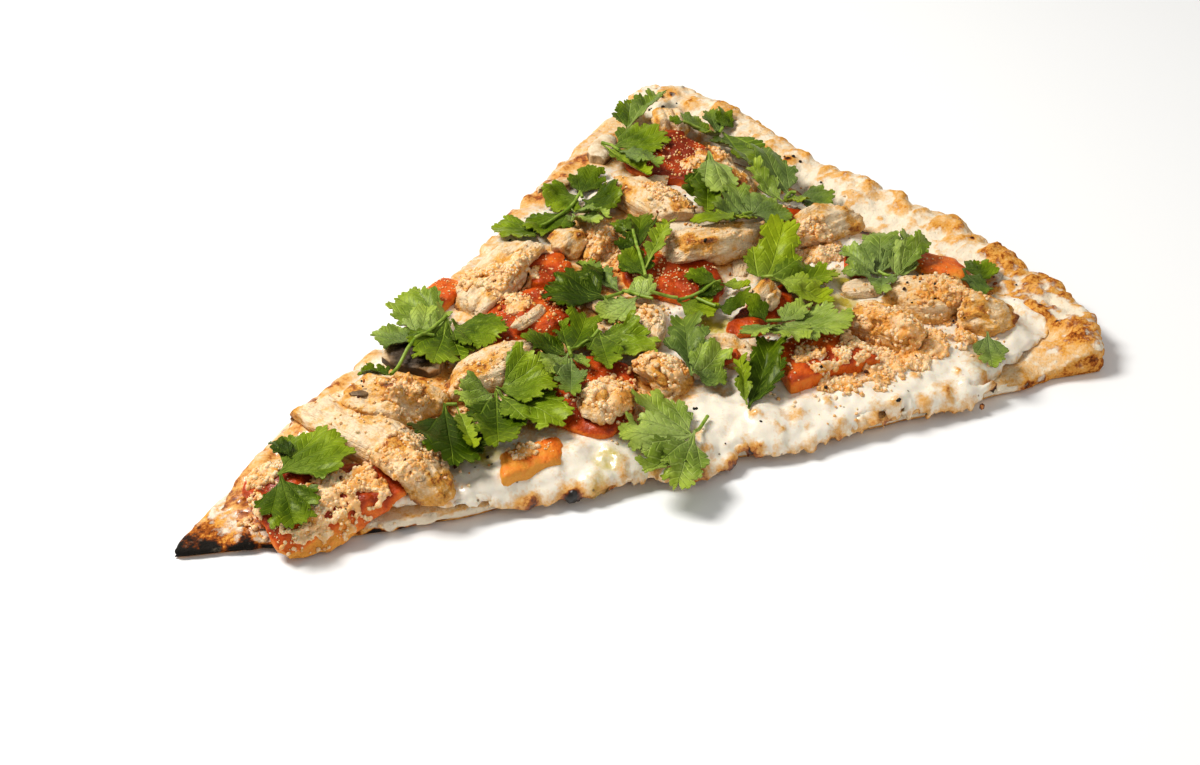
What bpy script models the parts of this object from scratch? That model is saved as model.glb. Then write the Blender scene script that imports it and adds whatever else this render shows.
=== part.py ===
"""A cut slice of garlic chicken pizza at its real size, with every topping as its own solid.

The slice is an eighth of an 18-inch round. It lies flat on z = 0, tip towards -X and browned rim
towards +X. Places are in millimetres from the tip: x runs along the middle of the slice and y
towards its far side. The last step moves it so that the middle of its underside is the origin.

Bread, cheese, tomato, mushroom, chicken and herb leaves are laid in that order. Each underside is
fitted to whatever already lies below it, with a thin layer of air between the two.
"""

import math
import random

import bmesh
import bpy
import numpy as np
from mathutils import Matrix, Vector, noise
from mathutils.geometry import delaunay_2d_cdt

MM = 0.001  # a millimetre in metres: every size below is in millimetres

# Driving dimensions of the slice
SIDE = 229.0  # from the tip to either corner of the rim
HALF_ANGLE = math.radians(21.4)
BREAD = 4.4  # bread under the toppings
TIP_BREAD = 2.8  # bread at the tip
TIP_REACH = 60.0  # how far from the tip the bread thins out
RIM_HEIGHT = 8.3
RIM_WIDTH = 15.0
CHEESE = 2.9
CHEESE_WAVE = 0.8
CHEESE_EDGE = 1.1  # how far the top of the cheese drops at its outline
HANG = 1.2  # lowest point of the cheese that runs down the near side
HANG_TOP = 2.9  # top of that cheese at its outer edge

# Air and thickness
GAP = 0.35  # air between two pieces that touch
FLOOR_AIR = 0.8  # air under what hangs down beside the bread
DROOP = 1.6  # how far a topping that sticks out past the bread sinks below its own middle
BEHIND_CHEESE = 1.2  # between the side of the bread and the cheese that hangs over it
LEAF = 0.7
LEAF_RIPPLE = 1.1
THINNEST_CHEESE = 1.2
DOME = (0.74, 0.4)  # the two rings of a rounded topping inside its outline, as shares of the outline

# Distances between the points of a surface
EDGE_STEP = 5.0
CHEESE_STEP = 5.5
DRIP_STEP = 3.6
RIM_GRID = 4.4
BREAD_GRID = 9.5
CHEESE_GRID = 6.8
LEAF_GRID = 4.6
TIP_STEP = 4.6
OUTLINE_STEP = 2.5  # of a topping

# Edges of the slice, as (distance from the tip along the side, bulge outward)
NEAR_SIDE = (
    (0, 0), (10, 2.6), (22, 4.2), (48, 6.4), (85, 6.8), (125, 6.0), (162, 5.2), (188, 3.2), (210, 0.4), (SIDE, 0),
)  # fmt: skip
FAR_SIDE = (
    (0, 0), (12, 1.6), (28, 2.0), (42, 4.0), (56, 3.0), (78, 0.8), (98, 1.2), (122, 0.8), (150, 3.4), (182, 6.0),
    (200, 7.2), (208, 8.2), (SIDE, 4.6),
)  # fmt: skip
# Outer edge of the rim, as (x, y), between the near corner and the far one
RIM_EDGE = (
    (220.6, -75), (225.2, -62), (226.6, -42), (228.6, -24), (225.6, 0), (221.6, 24), (221.6, 50), (221.5, 70),
    (218.4, 80),
)  # fmt: skip
EDGE_WOBBLE = 0.7
FOOT_IN = 1.3  # how far the underside and the top edge of the bread lie inside its widest outline
SHOULDER_IN = 1.1
SHOULDER_DROP = 0.7
# Blisters of the rim, as (x, y, radius, height)
BLISTERS = (
    (213, -62, 4.5, 1.6),
    (214, -74, 4, 1.4),
    (221, -30, 6, 1.2),
    (219, -14, 5, 1.0),
    (216, 5, 5, 1.2),
    (212, 28, 5, 1.2),
    (217, 60, 5, 1.4),
    (211, 77, 5, 2.4),
)

# Edge of the cheese, as (distance from the tip along the side, bulge past the bread)
CHEESE_NEAR = (
    (16, -3.5), (36, -3.0), (57, -2.0), (63, 1.9), (76, 2.4), (87, 3.4), (97, 4.6), (105, 2.2),
    (113, 4.6), (121, 7.2), (126, 6.4), (132, 1.8), (143, 4.6), (150, 3.4), (163, 2.4), (177, 2.2),
    (188, 3.2), (194, 3.6), (200, -2.2), (208, -6.0),
)  # fmt: skip
CHEESE_FAR = ((205, -6.0), (190, -1.6), (150, -1.4), (110, -1.5), (75, -1.4), (40, -1.8), (17, -2.6))
CHEESE_RIM = ((207, -64), (210, -40), (211, -18), (206.5, 2), (208.5, 26), (204, 48), (203, 66))

# Toppings, as (x, y, heading in degrees, length, width, height)
TOMATO = (
    (101, 35, 20, 13, 8, 3),
    (111.5, 13.5, 0, 26, 19, 3),
    (127, 26.5, 10, 15, 11, 3),
    (150, 6, 100, 30, 20, 3),
    (187, 47.5, 20, 26, 22, 3),
    (189, 4, 0, 15, 9, 3),
    (154, -44.5, -10, 21, 16, 4.5),
    (205, -35, -75, 15, 9, 3.5),
    (77.5, -31, -5, 15, 8, 3.5),
    (102.5, -22.5, 30, 28, 22, 3),
    (157, -22, 15, 27, 9, 3),
)
TIP_TOMATO = ((21.5, 3), (31, 2.5), (40, -5), (46.5, -12), (51.5, -21.5), (36, -22), (20.5, -19.5), (19.5, -8.5))
MUSHROOM = ((175.5, 63, 30, 17, 7, 3.5), (169, 19, -15, 18, 7, 3), (78.5, 16.5, -66, 19, 11, 3.5))
CHICKEN = (
    (52, 2, -77, 35, 11, 5),
    (53.5, -19.5, -78, 19, 11, 5.2),
    (64.5, 4.5, -50, 21, 15, 5.5),
    (89.5, -0.5, -8, 25, 10, 6.5),
    (117, 31.5, 22, 34, 14, 4.5),
    (145, 26.5, 30, 14, 6, 4.5),
    (138.5, 31.5, 10, 12, 8, 4.5),
    (167, 33.5, -86, 28.5, 10.5, 6.5),
    (165.5, 6, -16, 32, 9.5, 6.5),
    (190.5, 32, -80, 20, 12, 5),
    (199.5, 63.5, 60, 14, 9, 4.5),
    (194.5, -4, 3, 27, 9, 5),
    (192, -44.5, -35, 22, 14, 6),
    (197.5, -58.5, -40, 13, 10, 4.5),
    (174.5, -46.5, -70, 21, 11, 6),
    (158, -21, 20, 10, 7, 4.5),
    (138.5, -28.5, -62, 19, 7.5, 5),
    (119, -27.5, -60, 15, 10, 5),
    (131.5, -9, 50, 17, 7.5, 5),
    (101, -29.5, 30, 14, 12, 4),
)

# Sprigs: the leaflets of each, as (x, y, heading in degrees, length, width), and the ends of its stems
SPRIGS = (
    (
        (
            (27.5, -3, 2, 18, 19.5),
            (28, -3.5, -113, 16.5, 13),
            (32.5, -1, 83, 8.5, 4.5),
        ),
        (),
    ),
    (
        (
            (69, 11.5, 115, 8, 8),
            (80.5, 18, 103, 11, 12),
            (92.5, 23.5, 100, 15.5, 13),
            (83, 20, 45, 14, 8.5),
            (86.5, 18.5, 39, 11.5, 4.5),
            (93, 22, -135, 20.5, 14.5),
            (94, 21.5, -78, 15.5, 12.5),
        ),
        (
            (69, 11.5, 80.5, 18),
            (80.5, 18, 93, 22),
            (83, 20, 86.5, 18.5),
        ),
    ),
    (
        (
            (73, -4, -122, 27, 16),
            (75.5, -5.5, -116, 22, 3.5),
        ),
        ((73.5, -4, 75.5, -5.5),),
    ),
    (
        (
            (85, -8, 177, 10, 9.5),
            (85, -8, -126, 25.5, 12.5),
            (85, -8, -81, 22, 14),
            (85, -8, -27, 14, 17.5),
        ),
        (),
    ),
    (
        (
            (106.5, -8.5, 116, 11.5, 11),
            (106.5, -8.5, 38, 19.5, 10.5),
            (106.5, -8.5, -152, 12, 7.5),
            (106.5, -8.5, -95, 8.5, 3),
            (104, -12.5, -129, 17.5, 6.5),
            (118.5, -5, -26, 10, 5.5),
            (118.5, -5, -73, 16, 11.5),
            (118.5, -5, -121, 18.5, 7.5),
        ),
        (
            (106.5, -8.5, 118.5, -5),
            (106.5, -8.5, 104, -12.5),
        ),
    ),
    (
        (
            (123, -34, 54, 22.5, 10),
            (123, -34, 15, 13.5, 8.5),
            (124, -33.5, -36, 8, 4.5),
        ),
        (),
    ),
    (
        (
            (127.5, -49, 32, 21.5, 9.5),
            (127.5, -48.5, 55, 14.5, 3),
        ),
        (),
    ),
    (
        (
            (111.5, -48.5, 97, 16.5, 11.5),
            (111.5, -48.5, 146, 17.5, 12),
            (111.5, -48.5, -170, 19, 7.5),
            (111.5, -48.5, -144, 18.5, 9.5),
        ),
        ((111.5, -48.5, 113.5, -48.5),),
    ),
    (
        (
            (135, 5.5, 88, 18.5, 5),
            (129.5, 5.5, 118, 15, 22),
            (136, 0.5, 171, 11.5, 9.5),
            (135, -0.5, 40, 8.5, 6.5),
        ),
        (
            (135, 5.5, 135.5, -0.5),
            (129.5, 5.5, 135, 5.5),
            (135.5, -0.5, 137, -3.5),
        ),
    ),
    (
        (
            (140.5, 3.5, 71, 12.5, 8.5),
            (142, 5.5, 33, 22.5, 4.5),
            (147.5, 15, 47, 17, 7.5),
            (147.5, 15.5, 103, 6, 5),
            (152, 22, 94, 7, 5),
        ),
        (
            (140.5, 3.5, 147.5, 15),
            (147.5, 15, 152, 22),
        ),
    ),
    (
        (
            (138, 42.5, 161, 12.5, 15.5),
            (149.5, 45, -165, 16, 12.5),
            (157, 49.5, 172, 10.5, 12),
            (157, 49.5, 36, 13, 9),
            (156, 47.5, -78, 12, 10.5),
            (149.5, 43.5, -111, 17.5, 7.5),
            (150, 45, -84, 14.5, 4),
        ),
        (
            (138, 42.5, 149.5, 45),
            (149.5, 45, 157, 49.5),
            (157, 49.5, 156, 47.5),
        ),
    ),
    (
        (
            (175.5, 59, -12, 16, 16),
            (174, 61.5, -91, 20.5, 5),
            (174.5, 54.5, -75, 13.5, 6.5),
        ),
        (
            (175.5, 59, 174, 61.5),
            (175.5, 59, 174.5, 54.5),
        ),
    ),
    (
        (
            (188.5, 68, 48, 16, 7.5),
            (188.5, 68, 24, 21.5, 7),
        ),
        (),
    ),
    (
        (
            (198.5, 56, 9, 8.5, 7.5),
            (198.5, 56, 141, 4, 4),
            (209, 51.5, -114, 26.5, 13.5),
            (207, 51, 63, 11, 5),
            (209, 51.5, 43, 8.5, 5),
            (206.5, 50.5, -164, 8, 5),
        ),
        (
            (198.5, 56, 206.5, 50.5),
            (206.5, 50.5, 209, 51.5),
        ),
    ),
    (
        (
            (188, 34, -146, 18, 7),
            (188, 34, -132, 26.5, 8),
            (188, 34, -115, 18.5, 9.5),
        ),
        (),
    ),
    (
        (
            (179.5, 7.5, 65, 14.5, 9),
            (179.5, 7.5, 29, 13.5, 8),
            (179.5, 7, -34, 10, 13.5),
            (179, 7.5, -155, 7, 6),
            (178, 8.5, 118, 9, 6),
            (176.5, 7.5, 165, 14.5, 7),
        ),
        ((179.5, 7.5, 176.5, 7.5),),
    ),
    (
        (
            (199, 13.5, 74, 18.5, 11),
            (195.5, 12, 89, 14, 5),
            (200, 12.5, -52, 10, 15.5),
            (200, 13.5, -125, 10.5, 6.5),
        ),
        (
            (195.5, 12, 199, 13.5),
            (199, 13.5, 200, 12.5),
        ),
    ),
    (
        (
            (161.5, -16, 34, 25, 13),
            (161.5, -16, -15, 21, 10.5),
            (163.5, -18, -52, 15.5, 7.5),
        ),
        ((161.5, -16, 163.5, -18),),
    ),
    (
        (
            (155.5, -7.5, 126, 9, 5.5),
            (155.5, -7.5, -43, 7.5, 4),
            (142, -7, -60, 10.5, 8.5),
            (147.5, -15, -45, 8.5, 6.5),
            (146.5, -9, -9, 7, 5),
        ),
        (
            (136.5, -3, 142, -7),
            (142, -7, 148.5, -9),
            (148.5, -9, 155.5, -7.5),
            (146, -9.5, 147.5, -15),
        ),
    ),
    (
        (
            (154.5, -31, -54, 17, 17),
            (154.5, -31, 14, 10.5, 6.5),
            (153.5, -31, -115, 14, 10.5),
            (152, -29.5, -153, 13.5, 8.5),
            (151.5, -29, 85, 7, 5),
        ),
        ((151.5, -29, 154.5, -31),),
    ),
    (
        (
            (189.5, -29, 44, 19.5, 11),
            (189.5, -29, 90, 13, 6),
            (189.5, -29, 13, 17, 5.5),
            (189.5, -35, 30, 16, 6),
            (189.5, -30.5, -138, 12, 6),
            (187.5, -30, 112, 9, 4),
            (192, -33.5, 13, 13, 5),
        ),
        ((189.5, -29, 189.5, -35),),
    ),
    (
        (
            (206, -42, -7, 10.5, 8),
            (206, -42, -98, 10, 6.5),
        ),
        (),
    ),
    (
        ((193, -63, -131, 13.5, 7.5),),
        (),
    ),
)
STEM = 1.5
LEAFLET = (  # one side of a leaflet, as shares of its length and of its width
    (0.0, 0.07), (0.34, 0.28), (0.56, 0.5), (0.8, 0.44), (0.76, 0.24), (1.0, 0.14),
)  # fmt: skip

# Clumps of garlic and cheese crumbs, as (x, y, radius of the clump, how many)
CLUMPS = (
    (31, -13, 11, 11),
    (42, -16, 6, 5),
    (47, -12, 5, 3),
    (64, 6, 8, 6),
    (115, 28, 13, 6),
    (110, 17, 6, 5),
    (101, -30, 7, 7),
    (187, -11, 6, 6),
    (180, -57, 7, 6),
    (160, -57, 7, 5),
    (118, -31, 5, 3),
)
CRUMB = (1.1, 1.9)  # smallest and largest radius


def clear_scene():
    for thing in list(bpy.data.objects):
        bpy.data.objects.remove(thing, do_unlink=True)


def finish(name, colour, roughness):
    """A plain finish with the colour of the food."""
    made = bpy.data.materials.new(name)
    made.use_nodes = True
    shader = made.node_tree.nodes["Principled BSDF"]
    shader.inputs["Base Color"].default_value = (*colour, 1)
    shader.inputs["Roughness"].default_value = roughness
    shader.inputs["Metallic"].default_value = 0
    return made


# Outlines


def curve_through(knots, step):
    """Points a step apart on a smooth curve through the knots, without its last point."""
    knots = np.array(knots, float)
    ends = [2 * knots[0] - knots[1], *knots, 2 * knots[-1] - knots[-2]]
    fine = []
    for before, first, second, after in zip(ends, ends[1:], ends[2:], ends[3:]):
        for t in np.linspace(0, 1, 24, endpoint=False):
            fine.append(
                first
                + 0.5 * t * (second - before)
                + t * t * (before - 2.5 * first + 2 * second - 0.5 * after)
                + t * t * t * (1.5 * (first - second) + 0.5 * (after - before))
            )
    fine = np.array([*fine, knots[-1]])
    reach = np.concatenate([[0], np.cumsum(np.linalg.norm(np.diff(fine, axis=0), axis=1))])
    count = max(2, round(reach[-1] / step))
    wanted = np.linspace(0, reach[-1], count, endpoint=False)
    return np.column_stack([np.interp(wanted, reach, fine[:, axis]) for axis in (0, 1)])


def beside(side, along, out):
    """A place by its distance from the tip along the near (-1) or far (+1) side, and its bulge."""
    return (
        along * math.cos(HALF_ANGLE) - out * math.sin(HALF_ANGLE),
        side * (along * math.sin(HALF_ANGLE) + out * math.cos(HALF_ANGLE)),
    )


def bulge(knots, along):
    return float(np.interp(along, *zip(*knots)))


def outward(outline):
    """The direction away from the inside at each corner of an outline that runs anticlockwise."""
    ways = np.roll(outline, -1, axis=0) - np.roll(outline, 1, axis=0)
    ways /= np.linalg.norm(ways, axis=1)[:, None]
    return np.column_stack([ways[:, 1], -ways[:, 0]])


def bread_outline():
    near = curve_through([beside(-1, *knot) for knot in NEAR_SIDE], EDGE_STEP)
    near_corner, far_corner = beside(-1, *NEAR_SIDE[-1]), beside(1, *FAR_SIDE[-1])
    rim = curve_through([near_corner, *RIM_EDGE, far_corner], EDGE_STEP)
    far = curve_through([beside(1, *knot) for knot in FAR_SIDE[::-1]], EDGE_STEP)
    outline = np.vstack([near, rim, far])
    ragged = np.array([noise.noise(Vector((*place / 8, 3.1))) for place in outline])
    ragged[0] = 0  # the tip itself
    return outline + outward(outline) * ragged[:, None] * 2 * EDGE_WOBBLE


def cheese_outline():
    near = [beside(-1, along, bulge(NEAR_SIDE, along) + out) for along, out in CHEESE_NEAR]
    far = [beside(1, along, bulge(FAR_SIDE, along) + out) for along, out in CHEESE_FAR]
    return np.vstack(
        [
            curve_through(near, DRIP_STEP),
            curve_through([near[-1], *CHEESE_RIM, far[0]], CHEESE_STEP),
            curve_through(far, CHEESE_STEP),
            curve_through([far[-1], near[0]], CHEESE_STEP),
        ]
    )


def lump_outline(x, y, heading, length, width, seed, uneven=1.0):
    """An uneven, blunt oval."""
    draw = random.Random(seed)
    waves = [(turns, draw.uniform(0, math.tau)) for turns in (2, 3, 5)]
    turn = Matrix.Rotation(math.radians(heading), 2)
    count = max(10, round((length + width) / OUTLINE_STEP))
    points = []
    for step in range(count):
        angle = math.tau * step / count
        blunt = (abs(math.cos(angle)) ** 2.6 + abs(math.sin(angle)) ** 2.6) ** (-1 / 2.6)
        ragged = 1 + uneven * sum(0.11 / turns**0.5 * math.sin(turns * angle + phase) for turns, phase in waves)
        flat = Vector((length / 2 * math.cos(angle), width / 2 * math.sin(angle))) * blunt * ragged
        points.append(Vector((x, y)) + turn @ flat)
    return np.array(points)


def leaflet_outline(x, y, heading, length, width):
    turn = Matrix.Rotation(math.radians(heading), 2)
    right = [Vector((along * length, -across * width)) for along, across in LEAFLET]
    left = [Vector((along * length, across * width)) for along, across in reversed(LEAFLET)]
    return [Vector((x, y)) + turn @ corner for corner in (*right, *left)]


def stem_outline(x, y, end_x, end_y):
    start, end = Vector((x, y)), Vector((end_x, end_y))
    along = (end - start).normalized() * STEM / 2
    across = Vector((-along.y, along.x))
    return [start - along - across, end + along - across, end + along + across, start - along + across]


def hub_outline(x, y):
    """A small round patch where leaflets meet, so that they join as one leaf."""
    return [Vector((x, y)) + Vector((math.cos(a), math.sin(a))) * 1.6 for a in np.linspace(0, math.tau, 7)[:-1]]


# Triangles


def crossed(a, b):
    return a[..., 0] * b[..., 1] - a[..., 1] * b[..., 0]


def facing_up(points, triangles):
    """The same triangles, all anticlockwise, without any that have no area."""
    kept = []
    for a, b, c in triangles:
        area = crossed(points[b] - points[a], points[c] - points[a])
        if abs(area) > 1e-4:
            kept.append((a, b, c) if area > 0 else (a, c, b))
    return kept


def fill(outline, inner=()):
    """Triangles over an outline and through the points inside it, numbered in that order."""
    points = np.array([*outline, *inner], float)
    found = delaunay_2d_cdt([Vector(p) for p in points], [], [list(range(len(outline)))], 1, 1e-5)
    numbers = [sources[0] for sources in found[3]]
    return facing_up(points, [tuple(numbers[i] for i in face) for face in found[2]])


def border(triangles):
    """The outer edges of a patch of triangles, each with the patch on its left."""
    ends = {(t[i], t[(i + 1) % 3]) for t in triangles for i in range(3)}
    return [(a, b) for a, b in ends if (b, a) not in ends]


def crosses_itself(outline):
    start, end = outline[:, None], np.roll(outline, -1, axis=0)[:, None]
    other_start, other_end = start.swapaxes(0, 1), end.swapaxes(0, 1)
    one_side = crossed(end - start, other_start - start) * crossed(end - start, other_end - start) >= 0
    return not (one_side | one_side.T).all()


def merged_outline(polygons, shortest):
    """The outer edge of what the polygons cover together, without needlessly close corners."""
    corners, faces = [], []
    for polygon in polygons:
        faces.append([len(corners) + i for i in range(len(polygon))])
        corners.extend(polygon)
    found = delaunay_2d_cdt(corners, [], faces, 1, 1e-4)
    points = np.array(found[0])
    follows = dict(border(found[2]))
    loops = []
    while follows:
        loop = [next(iter(follows))]
        while loop[-1] in follows:
            loop.append(follows.pop(loop[-1]))
        loops.append(points[loop[:-1]])
    outline = max(loops, key=lambda loop: crossed(loop, np.roll(loop, -1, axis=0)).sum())
    at = 0
    while at < len(outline):
        fewer = np.delete(outline, at, axis=0)
        close = np.linalg.norm(outline[at] - outline[at - 1]) < shortest
        if close and not crosses_itself(fewer):
            outline = fewer
        else:
            at += 1
    return outline


def grid_inside(outline, step, margin):
    """Staggered points inside an outline, clear of its edge by the margin."""
    outline = np.array(outline)
    ends = np.roll(outline, -1, axis=0)
    (left, low), (right, high) = outline.min(axis=0), outline.max(axis=0)
    found = []
    for row, y in enumerate(np.arange(low, high, step * math.sqrt(0.75))):
        for x in np.arange(left + (row % 2) * step / 2, right, step):
            place = np.array((x, y))
            crossing = (outline[:, 1] > y) != (ends[:, 1] > y)
            rise = np.where(crossing, ends[:, 1] - outline[:, 1], 1)
            meets = outline[:, 0] + (y - outline[:, 1]) / rise * (ends[:, 0] - outline[:, 0])
            if (crossing & (meets > x)).sum() % 2 == 0:
                continue
            along = ends - outline
            share = ((place - outline) * along).sum(axis=1) / (along**2).sum(axis=1)
            nearest = outline + along * share.clip(0, 1)[:, None]
            if np.linalg.norm(place - nearest, axis=1).min() > margin:
                found.append(place)
    return found


# Laying one thing on another


class Ground:
    """Heights of everything laid so far, on a fine grid, and which piece is on top at each place."""

    CELL = 0.5
    LOW = np.array((-20.0, -110.0))
    CELLS = (520, 440)

    def __init__(self):
        self.height = np.full(self.CELLS, FLOOR_AIR - GAP)
        self.owner = np.full(self.CELLS, "", dtype=object)

    def cells_in(self, corners):
        """The cells inside a triangle seen from above, and the weights of its corners at each."""
        first = np.floor((corners.min(axis=0) - self.LOW) / self.CELL).astype(int)
        last = np.ceil((corners.max(axis=0) - self.LOW) / self.CELL).astype(int) + 1
        cells = np.mgrid[first[0] : last[0], first[1] : last[1]].reshape(2, -1)
        places = cells.T * self.CELL + self.LOW
        a, b, c = corners
        area = crossed(b - a, c - a)
        second = crossed(places - a, c - a) / area
        third = crossed(b - a, places - a) / area
        weights = np.column_stack([1 - second - third, second, third])
        inside = (weights > -1e-6).all(axis=1)
        return tuple(cells[:, inside]), weights[inside]

    def lay(self, name, flat, heights, triangles):
        for triangle in triangles:
            corners = list(triangle)
            cells, weights = self.cells_in(flat[corners])
            level = weights @ heights[corners]
            higher = level > self.height[cells]
            cells = tuple(axis[higher] for axis in cells)
            self.height[cells] = level[higher]
            self.owner[cells] = name

    def widened(self):
        """The heights, spread sideways by one cell so that upright sides keep their air as well."""
        spread = self.height
        for axis in (0, 1):
            spread = np.maximum.reduce([spread, np.roll(spread, 1, axis), np.roll(spread, -1, axis)])
        return spread

    def cell_of(self, x, y):
        return tuple(np.round((np.array((x, y)) - self.LOW) / self.CELL).astype(int))


def held_up(flat, ground, droop):
    """Heights for a sheet to start from, so that what sticks out past its support hardly droops."""
    middle = np.median([ground.height[ground.cell_of(*place)] for place in flat])
    return np.full(len(flat), max(middle - droop, FLOOR_AIR))


def settle(flat, triangles, heights, ground):
    """Raises the heights of a sheet until no part of it is in the ground."""
    level = ground.widened() + GAP
    spots = []
    for triangle in triangles:
        corners = list(triangle)
        cells, weights = ground.cells_in(flat[corners])
        if len(weights):
            spots.append((corners, weights, level[cells]))
    heights = np.maximum(heights, [level[ground.cell_of(*place)] for place in flat])
    for _ in range(80):
        lifted = False
        for corners, weights, wanted in spots:
            short = wanted - weights @ heights[corners]
            worst = short.argmax()
            if short[worst] > 0.02:
                share = weights[worst].clip(0)
                heights[corners] += short[worst] * share / (share @ share)
                lifted = True
        if not lifted:
            break
    return heights


def softened(heights, triangles, share):
    """Heights drawn towards the mean of their neighbours."""
    total, count = np.zeros_like(heights), np.zeros_like(heights)
    for a, b, c in triangles:
        for one, other in ((a, b), (b, c), (c, a)):
            total[one] += heights[other]
            total[other] += heights[one]
            count[one] += 1
            count[other] += 1
    return heights + share * (total / count - heights)


def solid(name, vertices, faces, material):
    mesh = bpy.data.meshes.new(name)
    mesh.from_pydata([Vector(vertex) * MM for vertex in vertices], [], faces)
    shape = bmesh.new()
    shape.from_mesh(mesh)
    bmesh.ops.recalc_face_normals(shape, faces=shape.faces)
    shape.to_mesh(mesh)
    shape.free()
    mesh.materials.append(material)
    mesh.shade_smooth()
    mesh.set_sharp_from_angle(angle=math.radians(50))
    made = bpy.data.objects.new(name, mesh)
    bpy.context.scene.collection.objects.link(made)
    return made


def sheet(name, flat, under, over, triangles, material, ground):
    """A solid between two surfaces with the same triangles, which is then part of the ground."""
    count = len(flat)
    vertices = [*np.column_stack([flat, under]), *np.column_stack([flat, over])]
    faces = [(c, b, a) for a, b, c in triangles]
    faces += [(a + count, b + count, c + count) for a, b, c in triangles]
    faces += [(a, b, b + count, a + count) for a, b in border(triangles)]
    ground.lay(name, flat, over, triangles)
    return solid(name, vertices, faces, material)


# The pieces


def from_rim(x, y):
    edge_x, edge_y = zip(beside(-1, SIDE, 0), *RIM_EDGE, beside(1, SIDE, 0))
    return float(np.interp(y, edge_y, edge_x)) - x


def bread_top(x, y):
    """Thin at the tip, level under the cheese, and puffed and blistered at the rim."""
    level = BREAD - (BREAD - TIP_BREAD) * max(0, 1 - x / TIP_REACH)
    into_rim = min(max(1 - from_rim(x, y) / RIM_WIDTH, 0), 1)
    puff = (RIM_HEIGHT - BREAD) * math.sin(into_rim * math.pi / 2) ** 1.5 * (1 - 0.35 * into_rim**6)
    waves = noise.noise(Vector((x / 6, y / 6, 0.4))) * (0.3 + 1.5 * into_rim)
    waves += 0.5 * noise.noise(Vector((x / 22, y / 22, 5.7)))
    for at_x, at_y, radius, height in BLISTERS:
        waves += height * max(0, 1 - ((x - at_x) ** 2 + (y - at_y) ** 2) / radius**2)
    return level + puff + waves


def make_bread(ground):
    outline = bread_outline()
    away = outward(outline)
    foot, shoulder = outline - FOOT_IN * away, outline - SHOULDER_IN * away
    rim_grid = [p for p in grid_inside(shoulder, RIM_GRID, 1.8) if from_rim(*p) < RIM_WIDTH + 3]
    wide_grid = [p for p in grid_inside(shoulder, BREAD_GRID, 3.5) if from_rim(*p) > RIM_WIDTH + 6]
    top = np.array([*shoulder, *rim_grid, *wide_grid])
    heights = np.array([bread_top(*place) for place in top])
    count = len(outline)
    heights[:count] -= SHOULDER_DROP
    waist = 0.5 * heights[:count]
    vertices = [*np.column_stack([foot, np.zeros(count)]), *np.column_stack([outline, waist])]
    vertices += list(np.column_stack([top, heights]))
    triangles = fill(shoulder, top[count:])
    faces = [(c, b, a) for a, b, c in fill(foot)]
    faces += [tuple(2 * count + corner for corner in triangle) for triangle in triangles]
    for first in range(count):
        second = (first + 1) % count
        for ring in (0, count):
            faces.append((ring + first, ring + second, ring + count + second, ring + count + first))
    rings = np.vstack([outline, shoulder])
    band = [(i, (i + 1) % count, count + i) for i in range(count)]
    band += [((i + 1) % count, count + (i + 1) % count, count + i) for i in range(count)]
    ground.lay("crust", rings, np.concatenate([heights[:count], heights[:count]]), facing_up(rings, band))
    ground.lay("crust", top, heights, triangles)
    return solid("crust", vertices, faces, finish("baked_bread", (0.76, 0.52, 0.27), 0.8))


def along_near_side(x, y):
    return x * math.cos(HALF_ANGLE) - y * math.sin(HALF_ANGLE)


def past_near_side(x, y):
    """How far a place lies outside the near side of the bread."""
    out = -x * math.sin(HALF_ANGLE) - y * math.cos(HALF_ANGLE)
    return out - bulge(NEAR_SIDE, along_near_side(x, y))


def cheese_top(x, y):
    """Wavy melted cheese, which rounds down where it runs over the near side of the bread."""
    level = bread_top(x, y) + GAP + CHEESE
    waves = noise.noise(Vector((x / 13, y / 13, 9.2))) + 0.5 * noise.noise(Vector((x / 5, y / 5, 2.6)))
    over = min(max((past_near_side(x, y) + 3.5) / 7.5, 0), 1)
    return (level + CHEESE_WAVE * waves) * (1 - over) + HANG_TOP * over


def make_cheese(ground):
    outline = cheese_outline()
    rows = []
    for along in np.arange(62, 197, 4.2):
        for out in (-0.2, BEHIND_CHEESE):
            rows.append(beside(-1, along, bulge(NEAR_SIDE, along) + out))
    inner = [p for p in grid_inside(outline, CHEESE_GRID, 2.2) if past_near_side(*p) < -3]
    inner += [p for p in rows if past_near_side(*p) < bulge(CHEESE_NEAR, along_near_side(*p)) - 1.0]
    flat = np.array([*outline, *inner])
    triangles = fill(outline, inner)
    under = settle(flat, triangles, np.full(len(flat), HANG), ground)
    over = np.array([cheese_top(*place) for place in flat])
    over[: len(outline)] -= CHEESE_EDGE
    over = np.maximum(over, under + THINNEST_CHEESE)
    return sheet("cheese", flat, under, over, triangles, finish("cheese", (0.92, 0.85, 0.7), 0.4), ground)


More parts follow.
